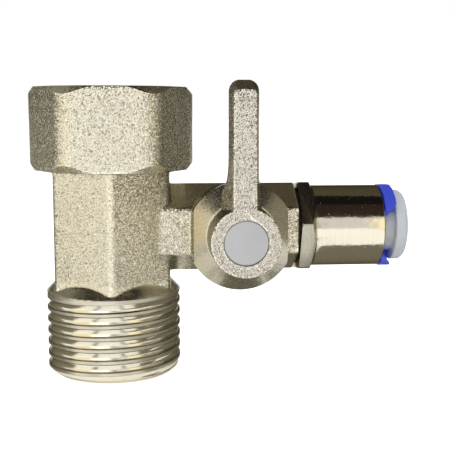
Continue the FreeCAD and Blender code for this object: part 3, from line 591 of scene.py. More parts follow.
# Threads: rolled bright in the groove, duller and grainy on the crests.
def thread_finish(colours, crest):
    material, n, shader, spot = new_metal("turned_thread")
    grain = n.group(blasted_grain(), Position=spot, Cells=5200.0, Coarse=0.1)
    marks = n.group(turning_marks(), Position=spot, Stretch=(0.03, 0.03, 1.0), Rings=7000.0)
    radius = n.vector("LENGTH", n.vector("MULTIPLY", spot, (1.0, 1.0, 0.0)))
    land = n.range(radius, crest - 0.00009, crest - 0.00002, 0.0, 1.0)
    groove = n.mix(n.math("MULTIPLY", marks["Rings"], 0.4), rgba(colours.turned),
                   rgba(colours.turned, 0.84))
    rough_land = n.math("MULTIPLY", grain["Height"], n.range(land, 0.0, 1.0, 0.12, 1.0))
    n.fill(shader, Base_Color=n.mix(land, groove, rgba(colours.forging, 0.76)),
           Roughness=n.math("ADD", n.math("MULTIPLY", land, 0.16), 0.19),
           Normal=n.bump(n.plus(rough_land, marks["Height"], 0.08), 0.00003))
    return material


# The housing's turned face: fine grain, a darker copy of the turned plating as painted shade,
# and a painted golden reflection towards the run.
def housing_face_finish(colours, place):
    material, n, shader, spot = new_metal("turned_face")
    grain = n.group(blasted_grain(), Position=spot, Cells=5200.0, Coarse=0.2)
    marks = n.group(turning_marks(), Position=spot, Stretch=(0.4, 1.0, 0.4), Rings=4000.0)
    # painted golden reflection on the side towards the run; both tones are darker copies of the
    # turned plating, painted shade
    warm = n.range(n.axis(spot, "X"), place - 0.0075, place - 0.002, 1.0, 0.0)
    tone = n.mix(warm, rgba(colours.turned, 0.66), rgba(colours.painted_gold_reflection, 0.62))
    n.fill(shader,
           Base_Color=n.mix(n.math("MULTIPLY", grain["Pits"], 0.35), tone,
                            rgba(colours.turned, 0.62)),
           Roughness=n.range(grain["Pits"], 0.0, 1.0, 0.17, 0.30),
           Normal=n.bump(n.plus(grain["Height"], marks["Height"], 0.5), 0.000012))
    return material


# Forging


# Millimetres that no setting changes.
THREAD_CREST = 10.478
THREAD_MINOR = 9.3155
LUG_OUTER, LUG_INNER, LUG_RISE = 4.1, 3.1, 0.85
LUG_ANGLES = (205.0, 245.0)
# How far blanks and cuts run on past a face, so that none ends on it.
PAST = 1.0
CAVITY_STEPS = 192


def forging_blank(s):
    side, corner = s.head_side_corner, s.head_corner
    foot, top = s.neck_start, s.neck_start + s.shoulder_rise
    head = rounded_hexagon(s.head_flats, [side, corner, corner] * 2, 0.0, 14)
    neck = rounded_hexagon(s.neck_flats, [s.neck_corner] * 6, 30.0, 8)
    branch = rounded_hexagon(s.branch_flats, [s.branch_corner] * 6, 90.0, 6)
    shoulder = [(0.0, foot - PAST), (THREAD_CREST, foot - PAST), (THREAD_CREST, foot),
                (s.neck_flats / 2 - 0.05, top), (0.0, top)]
    return merged(
        "forging",
        bar("head", head, (s.head_start, s.head_end), along_z),
        bar("neck", neck, (foot - PAST, s.head_start + 2 * PAST), along_z),
        lathe("shoulder", shoulder, along_z),
        bar("branch", branch, (0.0, s.branch_end), along_x(s.branch_height)),
        housing_blank(s))


def housing_blank(s):
    rim, side = s.housing_diameter / 2, s.housing_flats / 2
    front, back = s.housing_front, s.housing_back
    where = along_y(s.housing_place, s.branch_height)
    solid = lathe("housing", [
        (0.0, front + 0.6), (rim, front + 0.6), (rim, front - s.housing_drop), (7.0, 0.0),
        (6.3, -(back - 0.45)), (5.85, -back), (0.0, -back)], where)
    block = bar("block", [(-side, -9.0), (side, -9.0), (side, 9.0), (-side, 9.0)],
                (-back - PAST, front + PAST), where)
    return combine(solid, block, "INTERSECT")


# The turned and drilled cuts: name, profile of (radius, distance) and axis.
def machined_cuts(s, b):
    branch, stem = along_x(s.branch_height), along_y(s.housing_place, s.branch_height)
    face, over = s.head_face / 2, 15.0
    top, foot = s.head_end, s.head_start
    run, relief, mouth = b.run / 2, b.relief / 2, THREAD_MINOR + b.socket_bevel
    floor, relief_top = b.socket_floor, b.socket_floor + b.relief_length
    port, chamber, end = b.port / 2, b.chamber / 2, s.branch_end
    hole, front, rim = b.stem / 2, s.housing_front, s.housing_diameter / 2
    collar, ledge = 3.16, 5.6
    low, clear = 5.0, 14.0
    flat, dip = 5.3, 0.02
    # rings on the face's slope keep its shading even
    cone = [(r, front - dip - (r - flat) * s.housing_drop / (rim - flat))
            for r in (5.4, 5.8, 6.4, 7.0, 7.6, rim - 0.2, rim - 0.08, rim, rim + 1.5)]
    return [
        ("top_bevel", [(face, top), (over, top - over + face), (over, top + PAST),
                       (face, top + PAST)], along_z),
        ("foot_bevel", [(face, foot), (face, foot - PAST), (over, foot - PAST),
                        (over, foot + over - face)], along_z),
        ("below", [(0.0, low), (clear, low), (clear, s.neck_start), (0.0, s.neck_start)],
         along_z),
        ("run", [(0.0, 10.0), (run, 10.0), (run, floor), (relief, floor),
                 (relief, relief_top), (mouth, relief_top), (mouth, top + PAST),
                 (0.0, top + PAST)], along_z),
        ("chamber", [(0.0, 0.0), (port, 0.0), (port, b.chamber_floor),
                     (chamber, b.chamber_floor), (chamber, end - 0.5),
                     (chamber + 0.6, end + 0.1), (chamber + 0.6, end + PAST),
                     (0.0, end + PAST)], branch),
        ("stem", [(0.0, 0.0), (collar, 0.0), (collar, ledge), (hole, ledge),
                  (hole, front + 2 * PAST), (0.0, front + 2 * PAST)], stem),
        ("face", [(hole - 0.1, front), (flat - 0.1, front), (flat, front - dip)] + cone
         + [(rim + 1.5, front + 2 * PAST), (hole - 0.1, front + 2 * PAST)], stem),
    ]


# Triangles that trim the head's two side corners flat, above and below.
def head_trims(s):
    corner = s.head_side_corner
    apex = corner + (s.head_flats / 2 - corner) * 2 / ROOT_THREE
    near, far = apex - s.head_side_bevel, apex + 2.0
    for level, step in ((s.head_end, 1.0), (s.head_start, -1.0)):
        for side in (1.0, -1.0):
            outside = level + 0.5 * step
            yield [((near - 0.5) * side, outside), (far * side, outside),
                   (far * side, level - (far - near) * step)]


class VALVE_OT_forging(bpy.types.Operator):
    """Make the forged body with its machined faces and bores"""
    bl_idname = "valve.forging"
    bl_label = "Forging"

    def execute(self, context):
        s, b = sizes_in_millimetres("forging", "bores")
        colours = context.scene.valve_colours
        obj = soft_skin(forging_blank(s), s.grid, 4)
        for name, profile, place in machined_cuts(s, b):
            combine(obj, lathe(name, profile, place, CAVITY_STEPS), "DIFFERENCE")
        for outline in head_trims(s):
            trim = bar("head_trim", outline, (-13.0, 13.0), along_y(0.0, 0.0))
            combine(obj, trim, "DIFFERENCE")
        obj = merged("valve_forging", obj, stop_lug(s))
        blasted = blasted_metal("blasted_forging", colours.forging, colours.forging_shade,
                                cells=6200.0, depth=0.0001)
        turned = turned_metal("turned_bores", colours.turned, (0.05, 0.05, 1.0),
                              rings=9000.0, depth=0.000004, roughness=0.2)
        face = housing_face_finish(colours, s.housing_place / MM)
        finish_piece(obj, 32.0, [blasted, turned, face], "valve", ["body"])
        mark_machined(obj, s, b)
        return {"FINISHED"}


# The lug that stops the lever stands on the housing's face, under the hub.
def stop_lug(s):
    start, end = (math.radians(angle) for angle in LUG_ANGLES)
    outline = arc((0, 0), LUG_OUTER, start, end, 12) + arc((0, 0), LUG_INNER, end, start, 12)
    front = s.housing_front
    return bar("lug", outline, (front - 0.2, front + LUG_RISE),
               along_y(s.housing_place, s.branch_height))


# Material slots of the forging: 1 for bores, 2 for the housing's turned face.
def mark_machined(obj, s, b):
    place, height = s.housing_place, s.branch_height
    for polygon in obj.data.polygons:
        c, n = polygon.center * MM, polygon.normal
        round_stem = math.hypot(c.x - place, c.z - height)
        before_rim = c.y < -(s.housing_front - s.housing_drop - 0.3)
        if before_rim and round_stem < 8.3 and n.y < -0.5:
            polygon.material_index = 2
        elif math.hypot(c.x, c.y) < b.relief / 2 + 1.2 and n.x * c.x + n.y * c.y < 0:
            polygon.material_index = 1
        elif math.hypot(c.y, c.z - height) < b.chamber / 2 + 0.7 and c.x > 6.5:
            if n.y * c.y + n.z * (c.z - height) <= 0.0 and abs(c.y) < 5.0:
                polygon.material_index = 1


# Pipe threads


# Depth of the groove over one pitch, upwards from the middle of a crest.
THREAD_PROFILE = ((0.0, 0.0), (0.13, 0.0), (0.20, 0.74), (0.34, 0.93), (0.50, 1.0),
                  (0.66, 0.88), (0.84, 0.46), (0.885, 0.0), (1.0, 0.0))


def shape_curve(node, spots):
    curve = node.mapping.curves[0]
    curve.points[0].location = spots[0]
    curve.points[1].location = spots[-1]
    for spot in spots[1:-1]:
        curve.points.new(*spot)
    for point in curve.points:
        if point.location.y < 0.01:
            point.handle_type = "VECTOR"
    node.mapping.update()


# A sleeve rolled from a grid: X of the grid goes round, Y goes up. Its radius
# follows the profile, fades out at the top and is cut by a cone at the mouth.
@built_once
def helical_thread(name):
    sizes = (("Crest Radius", 10.5), ("Root Radius", 9.3), ("Pitch", 1.8), ("Start", 0.0),
             ("Length", 12.0), ("Crest Height", 10.6), ("Mouth Radius", 9.4),
             ("Mouth Slope", 1.0), ("Fade Length", 1.6))
    tree, n, given, out = new_group(
        name,
        [(label, "Float", default) for label, default in sizes]
        + [("Around", "Int", 192), ("Rows", "Int", 200), ("Material", "Material", None)],
        [("Geometry", "Geometry", None)], "GeometryNodeTree")
    calc = n.math
    crest, root, length = given["Crest Radius"], given["Root Radius"], given["Length"]
    grid = n.fill(n.add("GeometryNodeMeshGrid"), Size_X=1.0, Size_Y=1.0,
                  Vertices_X=calc("ADD", given["Around"], 1.0),
                  Vertices_Y=calc("ADD", given["Rows"], 1.0))
    flat = n.add("GeometryNodeInputPosition").outputs[0]
    turn = calc("ADD", n.axis(flat, "X"), 0.5)
    rise = calc("MULTIPLY", calc("ADD", n.axis(flat, "Y"), 0.5), length)
    height = calc("ADD", given["Start"], rise)
    turns_up = calc("DIVIDE", calc("SUBTRACT", height, given["Crest Height"]), given["Pitch"])
    phase = calc("FRACT", calc("SUBTRACT", turns_up, turn))
    profile = n.fill(n.add("ShaderNodeFloatCurve"), Value=phase)
    shape_curve(profile, THREAD_PROFILE)
    fade = n.fill(n.add("ShaderNodeMapRange", interpolation_type="SMOOTHSTEP"),
                  Value=calc("SUBTRACT", length, rise), From_Max=given["Fade Length"])
    groove = calc("MULTIPLY", profile.outputs["Value"], fade.outputs["Result"])
    radius = calc("SUBTRACT", crest, calc("MULTIPLY", calc("SUBTRACT", crest, root), groove))
    mouth = n.plus(given["Mouth Radius"], rise, given["Mouth Slope"])
    # a male thread stays inside the mouth's cone, a female thread outside it
    female = calc("LESS_THAN", crest, root)
    inside = calc("MULTIPLY", calc("MINIMUM", radius, mouth), calc("SUBTRACT", 1.0, female))
    radius = n.plus(inside, calc("MAXIMUM", radius, mouth), female)
    angle = calc("MULTIPLY", turn, 2 * math.pi)
    spot = n.fill(n.add("ShaderNodeCombineXYZ"),
                  calc("MULTIPLY", radius, calc("SINE", angle)),
                  calc("MULTIPLY", calc("MULTIPLY", radius, calc("COSINE", angle)), -1.0),
                  height)
    moved = n.fill(n.add("GeometryNodeSetPosition"), Geometry=grid.outputs["Mesh"],
                   Position=spot.outputs[0])
    weld = n.fill(n.add("GeometryNodeMergeByDistance"), Geometry=moved.outputs[0],
                  Distance=0.0005)
    real = n.fill(n.add("GeometryNodeRealizeInstances"), weld.outputs[0])
    dress = n.fill(n.add("GeometryNodeSetMaterial"), Geometry=real.outputs[0],
                   Material=given["Material"])
    n.put(out["Geometry"], dress.outputs[0])
    return tree


def thread_sleeve(name, material, **values):
    obj = bpy.data.objects.new(name, bpy.data.meshes.new(name))
    bpy.context.scene.collection.objects.link(obj)
    modifier = obj.modifiers.new("thread", "NODES")
    modifier.node_group = helical_thread()
    keys = {item.name: item.identifier for item in modifier.node_group.interface.items_tree
            if item.in_out == "INPUT"}
    modifier[keys["Material"]] = material
    for label, value in values.items():
        modifier[keys[label.replace("_", " ")]] = value
    return evaluated(obj, name)


# Closes an open threaded sleeve into a solid ring along the given profile of
# (radius, height) points, which runs from the sleeve's top to its foot.
def close_ring(obj, profile):
    bm = bmesh.new()
    bm.from_mesh(obj.data)
    edges = [e for e in bm.edges if e.is_boundary]
    top = max(v.co.z for v in bm.verts)
    loop = [e for e in edges if e.verts[0].co.z > top - 0.01]
    lower = [e for e in edges if e.verts[0].co.z <= top - 0.01]
    for radius, height in profile:
        made = bmesh.ops.extrude_edge_only(bm, edges=loop)["geom"]
        loop = [g for g in made if isinstance(g, bmesh.types.BMEdge) and g.is_boundary]
        for vert in [g for g in made if isinstance(g, bmesh.types.BMVert)]:
            flat = Vector((vert.co.x, vert.co.y, 0.0)).normalized() * radius
            vert.co = (flat.x, flat.y, height)
    bmesh.ops.bridge_loops(bm, edges=loop + lower)
    bmesh.ops.remove_doubles(bm, verts=bm.verts, dist=0.0005)
    bmesh.ops.recalc_face_normals(bm, faces=bm.faces)
    bm.to_mesh(obj.data)
    bm.free()


class VALVE_OT_threads(bpy.types.Operator):
    """Make the helical male thread and the female thread in the socket"""
    bl_idname = "valve.threads"
    bl_label = "Pipe threads"

    def execute(self, context):
        s, b, t = sizes_in_millimetres("forging", "bores", "threads")
        finish = thread_finish(context.scene.valve_colours, t.major / 2 / MM)
        shared = {"Pitch": t.pitch, "Crest_Height": t.male_crest, "Around": t.around}
        male = thread_sleeve(
            "male_pipe_thread", finish, Crest_Radius=t.major / 2, Root_Radius=t.male_root / 2,
            Start=0.0, Length=s.neck_start, Mouth_Radius=t.major / 2 - t.end_bevel,
            Mouth_Slope=1.2, Fade_Length=1.6, Rows=320, **shared)
        bore = b.run / 2
        close_ring(male, [(bore, s.neck_start), (bore, 0.5), (bore + 0.5, 0.0)])

        foot, top = b.socket_floor + b.relief_length, s.head_end
        mouth = t.minor / 2 + b.socket_bevel
        female = thread_sleeve(
            "female_pipe_thread", finish, Crest_Radius=t.minor / 2, Root_Radius=t.major / 2,
            Start=foot, Length=top - foot, Mouth_Radius=mouth - (top - foot),
            Mouth_Slope=1.0, Fade_Length=0.01, Rows=150, **shared)
        close_ring(female, [(mouth + 0.02, top), (mouth + 0.02, foot)])
        for obj in (male, female):
            finish_piece(obj, 40.0, [finish], "valve", ["body"])
        return {"FINISHED"}


# Lever


# Half sizes of the hole that drives the stem, and radii and depth of the slot
# over the lug, in millimetres, and where the slot lies round the stem, in degrees.
DRIVE_ROUND, DRIVE_FLATS = 1.98, 1.48
SLOT_OUTER, SLOT_INNER, SLOT_DEPTH = 4.3, 2.9, 0.75
SLOT_ANGLES = (203.5, 336.5)


def arm_outline(s, spread, tip, hub):
    corner, flare = s.tip_corner + spread * 1.6, s.flare
    halves = []
    for offset in (-s.offset, s.offset):
        top = s.tip_width / 2 + spread + offset
        aside = s.root_width / 2 + spread + offset + flare
        start = math.sqrt((hub + flare) ** 2 - aside ** 2)
        lean = math.atan2(start, aside)
        half = arc((aside, start), flare, lean + math.pi, math.pi, 8)
        half += arc((top - corner, tip - corner), corner, 0.0, math.pi / 2, 8)
        halves.append(half)
    right, left = halves
    foot = hub * 0.4
    return [(-foot, 0.0), (foot, 0.0)] + right + [(-u, v) for u, v in reversed(left)]


# The arm widens towards its back by its draft, and its front edges are bevelled.
def lever_blank(s, f):
    place, height = f.housing_place, f.branch_height
    front, back, hub, edge = s.front, s.back, s.hub / 2, s.edge
    arm_back = front - s.thickness

    def outline(share, root):
        return arm_outline(s, s.draft * share, s.reach + s.tip_slope * share, root)

    rings = [(outline((front - back) / s.thickness, hub + 0.12), back),
             (outline(edge / s.thickness, hub - 0.12), front - edge),
             (arm_outline(s, -edge, s.reach - edge, hub - 0.12), front)]
    arm = prism("arm", rings, along_y(place, height))
    fall = math.acos((s.root_curve - (arm_back - back)) / s.root_curve)
    swept = arc((arm_back - s.root_curve, s.root_start), s.root_curve, 0.0, -fall, 16)
    waste = bar("waste", swept + [(5.0, swept[-1][1]), (5.0, 40.0), (arm_back, 40.0)],
                (-9.0, 9.0), lambda u, v, w: (place + w, -u, height + v))
    combine(arm, waste, "DIFFERENCE")
    disc = lathe("disc", [(0.0, back), (hub + 0.12, back), (hub, front - 0.1),
                          (hub - 0.1, front), (0.0, front)], along_y(place, height))
    return merged("lever_blank", arm, disc)


class VALVE_OT_lever(bpy.types.Operator):
    """Make the lever with its hub, recess and stop slot, and the cap in it"""
    bl_idname = "valve.lever"
    bl_label = "Lever and cap"

    def execute(self, context):
        s, f = sizes_in_millimetres("lever", "forging")
        colours = context.scene.valve_colours
        front, back, web = s.front, s.back, s.web_front
        lever = soft_skin(lever_blank(s, f), s.grid, 4)
        cap, well, ledge = s.cap / 2, 2.5, front - 1.19
        wall, bevel = cap + 0.04, cap + 0.16
        where = along_y(f.housing_place, f.branch_height)
        recess = [(0.0, web), (well, web), (well, ledge), (wall, ledge),
                  (wall, front - 0.12), (bevel, front + 0.02), (bevel, front + PAST),
                  (0.0, front + PAST)]
        combine(lever, lathe("recess", recess, where), "DIFFERENCE")
        lean = math.acos(DRIVE_FLATS / DRIVE_ROUND)
        flats = arc((0, 0), DRIVE_ROUND, lean, math.pi - lean, 12)
        flats += arc((0, 0), DRIVE_ROUND, math.pi + lean, 2 * math.pi - lean, 12)
        hole = bar("hole", flats, (back - PAST, web + PAST), where)
        combine(lever, hole, "DIFFERENCE")
        start, end = (math.radians(angle) for angle in SLOT_ANGLES)
        slot = arc((0, 0), SLOT_OUTER, start, end, 30)
        slot += arc((0, 0), SLOT_INNER, end, start, 30)
        groove = bar("groove", slot, (back - PAST, back + SLOT_DEPTH), where)
        combine(lever, groove, "DIFFERENCE")
        lever.name = "valve_lever"
        finish = blasted_metal("blasted_lever", colours.lever, rgba(colours.lever, 0.7),
                               cells=6000.0, depth=0.00013)
        finish_piece(lever, 32.0, [finish], "handle", ["lever"])

        flush = front - 0.04
        under = flush - 1.15
        profile = soften([(0.0, under), (cap, under), (cap, flush - 0.02), (0.0, flush)],
                         0.22, 5, closed=False)
        disc = lathe("lever_disc", profile, where, 128)
        plastic = moulded_plastic("cap_plastic", colours.cap,
                                  roughness=0.42, cells=1500.0, depth=0.000004)
        finish_piece(disc, 40.0, [plastic], "handle", ["lever_cap"])
        return {"FINISHED"}


# Tube outlet


# Degrees round the outlet's axis: how the hexagon came to stand when it was
# tightened, and where the locking clip's two ends lie.
HEXAGON_TURN = 172.4
CLIP_LOW, CLIP_HIGH = 231.0, 158.0
# Millimetres: how far the clip's points lie from that axis, and where the
# collet's legs and the slits between them start and end.
CLIP_POINT = 5.6
LEGS_START, SLIT_ENDS = 38.5, (38.0, 42.2)


class VALVE_OT_outlet(bpy.types.Operator):
    """Make the outlet fitting with its hexagon and barrel, and its gasket"""
    bl_idname = "valve.outlet"
    bl_label = "Outlet fitting"

    def execute(self, context):
        o, f = sizes_in_millimetres("outlet", "forging")
        colours = context.scene.valve_colours
        height = f.branch_height
        where = along_x(height)
        start, end = o.hexagon_start, o.hexagon_end
        flats, corner = o.hexagon_flats, o.hexagon_corners / 2
        outline = rounded_hexagon(flats, [0.06] * 6, HEXAGON_TURN, 3)
        hexagon = bar("hexagon", outline, (start, end), where)
        low = flats / 2 - 0.1
        tall = (corner - low) * 0.55
        turned = lathe("turned", [(0.0, start - 0.1), (corner - 0.12, start - 0.1),
                                  (corner - 0.12, start), (corner, start + 0.12),
                                  (corner, end - tall), (low, end), (low, end + 0.1),
                                  (0.0, end + 0.1)], where, 256)
        combine(hexagon, turned, "INTERSECT")
        hole = lathe("hole", [(0.0, start - PAST), (3.0, start - PAST), (3.0, end + PAST),
                              (0.0, end + PAST)], where, 64)
        combine(hexagon, hole, "DIFFERENCE")
        barrel = lathe("barrel", self.barrel_profile(o), where, 256)
        combine(barrel, hexagon, "UNION")
        barrel.name = "outlet_barrel"
        finish = turned_metal("turned_barrel", colours.turned, (1.0, 0.02, 0.02),
                              rings=6500.0, depth=0.000003, roughness=0.12, ripple=0.00003)
        brushed = turned_metal("brushed_hexagon", [c * 0.68 for c in colours.turned],
                               (1.0, 0.06, 0.06), rings=9000.0, depth=0.000006,
                               roughness=0.27)
        finish_piece(barrel, 30.0, [finish, brushed], "valve",
                     ["outlet_fitting"])
        for polygon in barrel.data.polygons:
            c = polygon.center * MM
            outside = math.hypot(c.y, c.z - height) > 6.2
            if outside and start - 0.01 < c.x < end + 0.01:
                polygon.material_index = 1

        thin, wide = f.branch_end, start
        ring = soften([(4.3, thin), (6.0, thin), (6.0, wide), (4.3, wide)], 0.06)
        gasket = lathe("branch_gasket", ring, where, 160)
        rubber = moulded_plastic("black_rubber", colours.rubber,
                                 roughness=0.55, cells=2500.0, depth=0.00001)
        finish_piece(gasket, 40.0, [rubber], "valve", ["fitting_gasket"])
        return {"FINISHED"}

    # Outside: threaded nose, neck under the hexagon, barrel. Inside, from the
    # mouth: taper for the collet's barbs, seat of the tube's ring, tube stop.
    def barrel_profile(self, o):
        barrel, tube, bore = o.barrel / 2, o.tube / 2, 2.1
        start, end, hexagon = o.barrel_start, o.barrel_end, o.hexagon_end - 0.1
        nose, neck, tip, stop = 4.25, 6.25, 24.125, 32.6
        mouth, taper, ring = 4.35, 5.25, 4.75
        outer = [(bore, tip), (nose, tip), (nose, hexagon), (neck, hexagon),
                 (neck, start - 0.06), (barrel, start), (barrel, end - 0.2), (barrel - 0.2, end)]
        inner = [(mouth, end), (mouth, end - 0.9), (taper, 39.6), (taper, 38.2), (ring, 38.2),
                 (ring, 34.9), (tube, 34.9), (tube, stop), (bore, stop)]
        return soften(outer + inner, 0.06, 3)


def collet_profile(o):
    sleeve, flange, tube = o.collet / 2, o.collet_flange / 2, o.tube / 2
    rim, end, start, barb = o.collet_rim, o.collet_end, LEGS_START, 4.95
    return soften([
        (tube, start), (barb - 0.25, start), (barb, start + 0.25), (barb, start + 1.3),
        (sleeve, start + 2.1), (sleeve, rim), (flange - 0.1, rim), (flange, rim + 0.2),
        (flange, end - 0.5), (flange - 0.4, end), (tube + 0.5, end),
        (tube, end - 0.5)], 0.14, 4)


class VALVE_OT_collet(bpy.types.Operator):
    """Make the collet with its split legs and the locking clip round it"""
    bl_idname = "valve.collet"
    bl_label = "Collet and clip"

    def execute(self, context):
        o, f = sizes_in_millimetres("outlet", "forging")
        colours = context.scene.valve_colours
        height = f.branch_height
        where = along_x(height)
        collet = lathe("press_collet", collet_profile(o), where, 160)
        slot = [(-0.5, 2.0), (0.5, 2.0), (0.5, 6.0), (-0.5, 6.0)]
        for turn in range(4):
            angle = turn * math.pi / 2
            c, s = math.cos(angle), math.sin(angle)
            outline = [(u * c - v * s, u * s + v * c) for u, v in slot]
            combine(collet, bar("slit", outline, SLIT_ENDS, where), "DIFFERENCE")
        grey = moulded_plastic("collet_plastic", colours.collet,
                               roughness=0.34, cells=1800.0, depth=0.000004)
        finish_piece(collet, 35.0, [grey], "valve", ["collet"])

        near = o.barrel_end + 0.1
        far = near + o.clip_thickness
        clip = bar("snap_clip", self.clip_outline(o), (near, far), where)
        for outline in self.clip_tapers(o, near, far, height):
            taper = bar("taper", outline, (0.5, 8.0), along_y(0.0, 0.0))
            combine(clip, taper, "DIFFERENCE")
        bevel = clip.modifiers.new("bevel", "BEVEL")
        bevel.width, bevel.segments = 0.13, 3
        bevel.limit_method, bevel.angle_limit = "ANGLE", math.radians(40)
        evaluated(clip, "snap_clip")
        blue = moulded_plastic("clip_plastic", colours.clip,
                               roughness=0.36, cells=1800.0, depth=0.000004)
        finish_piece(clip, 40.0, [blue], "valve", ["locking_clip"])
        return {"FINISHED"}

    # The moulding's outer edge runs in short flats round the barrel.
    def clip_outline(self, o):
        inner, outer = o.clip_bore / 2, o.clip / 2
        low, high = (math.radians(a) for a in (CLIP_LOW, CLIP_HIGH + 360.0))
        lean = math.radians(7.0)
        points = [(CLIP_POINT * math.cos(low), CLIP_POINT * math.sin(low))]
        points += arc((0, 0), outer, low + lean, high - lean, 15)
        points.append((CLIP_POINT * math.cos(high), CLIP_POINT * math.sin(high)))
        points += arc((0, 0), inner, high - lean, low + lean, 60)
        return points

    # Both ends run out to points at the barrel's side.
    def clip_tapers(self, o, near, far, height):
        tip = near + 0.3
        beyond = far + (far - tip)
        for angle, span in ((CLIP_HIGH, o.clip_point), (CLIP_LOW, -o.clip_point)):
            level = height + CLIP_POINT * math.sin(math.radians(angle))
            yield [(tip, level), (beyond, level + span * 2),
                   (beyond, level - span * 0.4), (tip, level - span * 0.4)]


# Pieces that keep their own solids


class VALVE_OT_inner_pieces(bpy.types.Operator):
    """Give the inner pieces their finishes"""
    bl_idname = "valve.inner_pieces"
    bl_label = "Inner pieces"

    def execute(self, context):
        rubber = bpy.data.materials["black_rubber"]
        seat = moulded_plastic("seat_plastic", (0.80, 0.80, 0.77),
                               roughness=0.4, cells=1500.0, depth=0.000003)
        bare = {"edge": BARE_METAL_EDGE}
        brass = turned_metal("turned_brass", (0.62, 0.45, 0.20), (0.05, 1.0, 0.05),
                             rings=6000.0, depth=0.000003, roughness=0.25, **bare)
        ball = turned_metal("polished_ball", (0.75, 0.76, 0.78), (0.3, 0.3, 0.3),
                            rings=3000.0, depth=0.000001, roughness=0.1, **bare)
        steel = turned_metal("bright_steel", (0.55, 0.55, 0.56), (0.3, 1.0, 0.3),
                             rings=5000.0, depth=0.000003, roughness=0.28, **bare)
        pieces = (
            (rubber, ("inlet_washer", "tube_ring", "stem_ring_inner", "stem_ring_outer")),
            (seat, ("seat_inner", "seat_outer", "thrust_washer", "tube_ring_spacer")),
            (brass, ("stem",)),
            (ball, ("ball",)),
            (steel, ("lever_screw", "spring_washer", "grip_teeth")),
        )
        for material, names in pieces:
            for name in names:
                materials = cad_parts[name].data.materials
                materials.clear()
                materials.append(material)
        return {"FINISHED"}


# Stage


CARD_STEPS = 12

# name, colour, distance in metres, angles across, angles up, way of wrapping
STUDIO_CARDS = (
    ("card_front_top", (0.036, 0.024, 0.018), 0.42, (-80, 80), (28, 66), "over"),
    ("card_zenith", (0.009, 0.009, 0.009), 0.41, (-80, 80), (66, 98), "over"),
    ("card_back_top", (0.10, 0.085, 0.055), 0.40, (-80, 80), (98, 177), "over"),
    ("card_right", (0.085, 0.075, 0.05), 0.39, (84, 145), (-30, 60), "round"),
    ("card_left", (0.27, 0.255, 0.21), 0.39, (-145, -97), (-30, 60), "round"),
    ("panel_gold", (1.25, 1.10, 0.80), 0.385, (-80, -44), (-3, 32), "round"),
    ("panel_bright", (2.0, 2.0, 1.95), 0.385, (-42, -11), (-3, 24), "round"),
    ("panel_front", (0.92, 0.89, 0.95), 0.39, (-11, 23), (-3, 27), "round"),
    ("panel_right", (1.5, 1.32, 0.92), 0.385, (23, 43), (-3, 20), "round"),
    ("panel_dim", (0.38, 0.345, 0.26), 0.385, (45, 86), (-3, 34), "round"),
    ("card_camera", (0.35, 0.33, 0.32), 0.37, (-8, 3), (-3, 16), "round"),
)


# Radius of the run's outer wall, in metres.
RUN_RADIUS = 0.0105


# Where a ray lands that leaves the run's wall at one angle and goes one distance.
def off_the_run(angle, distance):
    a = math.radians(angle)
    return (RUN_RADIUS * math.sin(a) + distance * math.sin(2 * a),
            -RUN_RADIUS * math.cos(a) - distance * math.cos(2 * a))


# A strip of table that mirrors in the run's wall between two angles.
def strip(first, last, near=0.002, far=0.07):
    return (off_the_run(first, near), off_the_run(first, far), off_the_run(last, far),
            off_the_run(last, near))


# Sheets on the table: tone and outline.
TABLE_CARDS = (
    ("table_under", (0.22, 0.205, 0.165),
     ((0.0125, -0.0215), (0.0300, -0.0215), (0.0300, -0.009), (0.0315, -0.009),
      (0.0336, -0.0215), (0.065, -0.0215), (0.065, 0.06), (0.0125, 0.06))),
    ("table_front", (0.26, 0.235, 0.18),
     ((0.0085, -0.024), (0.0125, -0.046), (0.034, -0.046), (0.0318, -0.032),
      (0.0300, -0.0215), (0.0125, -0.0215))),
    ("table_right", (0.24, 0.215, 0.155),
     (off_the_run(26, 0.002), off_the_run(22, 0.034), (0.0305, -0.026), (0.0305, -0.0215),
      (0.0125, -0.0215), off_the_run(48, 0.002))),
    ("table_left", (0.26, 0.24, 0.17), strip(-38, -80)),
    ("table_streak_left", (0.42, 0.42, 0.42), strip(-19.0, -14.5)),
    ("table_streak_right", (0.42, 0.42, 0.42), strip(7.5, 11.0)),
    ("table_gold", (1.2, 1.05, 0.76),
     ((-0.05, -0.05), (-0.36, -0.14), (-0.26, -0.28), (-0.06, -0.075))),
    ("table_dim", (0.34, 0.31, 0.24),
     ((0.10, -0.068), (0.33, -0.25), (0.40, -0.03), (0.09, -0.015))),
    ("table_warm", (1.3, 1.15, 0.82),
     ((0.08, -0.09), (0.16, -0.34), (0.33, -0.25), (0.10, -0.068))),
    ("table_far_right", (0.085, 0.075, 0.05),
     ((0.07, 0.0), (0.40, -0.02), (0.30, 0.30), (0.04, 0.07))),
    ("table_far_left", (0.27, 0.255, 0.21),
     ((-0.03, 0.008), (-0.40, 0.05), (-0.30, 0.30), (-0.01, 0.07))),
)


# name, diameter and place, in metres; the powers are settings
LAMPS = (
    ("key", 0.05, (-0.10, -0.42, 0.13)),
    ("fill", 0.30, (-0.40, -0.25, 0.10)),
    ("back", 0.25, (0.10, 0.40, 0.25)),
    ("top", 0.40, (0.05, -0.15, 0.50)),
)
MIDDLE = (0.015, 0.0, 0.022)

# The camera, fitted to the photograph: focal length and image size in pixels,
# place in metres, and the directions of its own axes.
FOCAL_PIXELS, IMAGE_PIXELS = 892.716, 458.0
SENSOR_WIDTH = 36.0
CAMERA_PLACE = (0.004839, -0.141215, 0.041623)
CAMERA_AXES = ((0.99540, -0.09585, 0.0), (0.01309, 0.13594, 0.99063),
               (-0.09496, -0.98607, 0.13657))
CAMERA_ROLL = 0.002


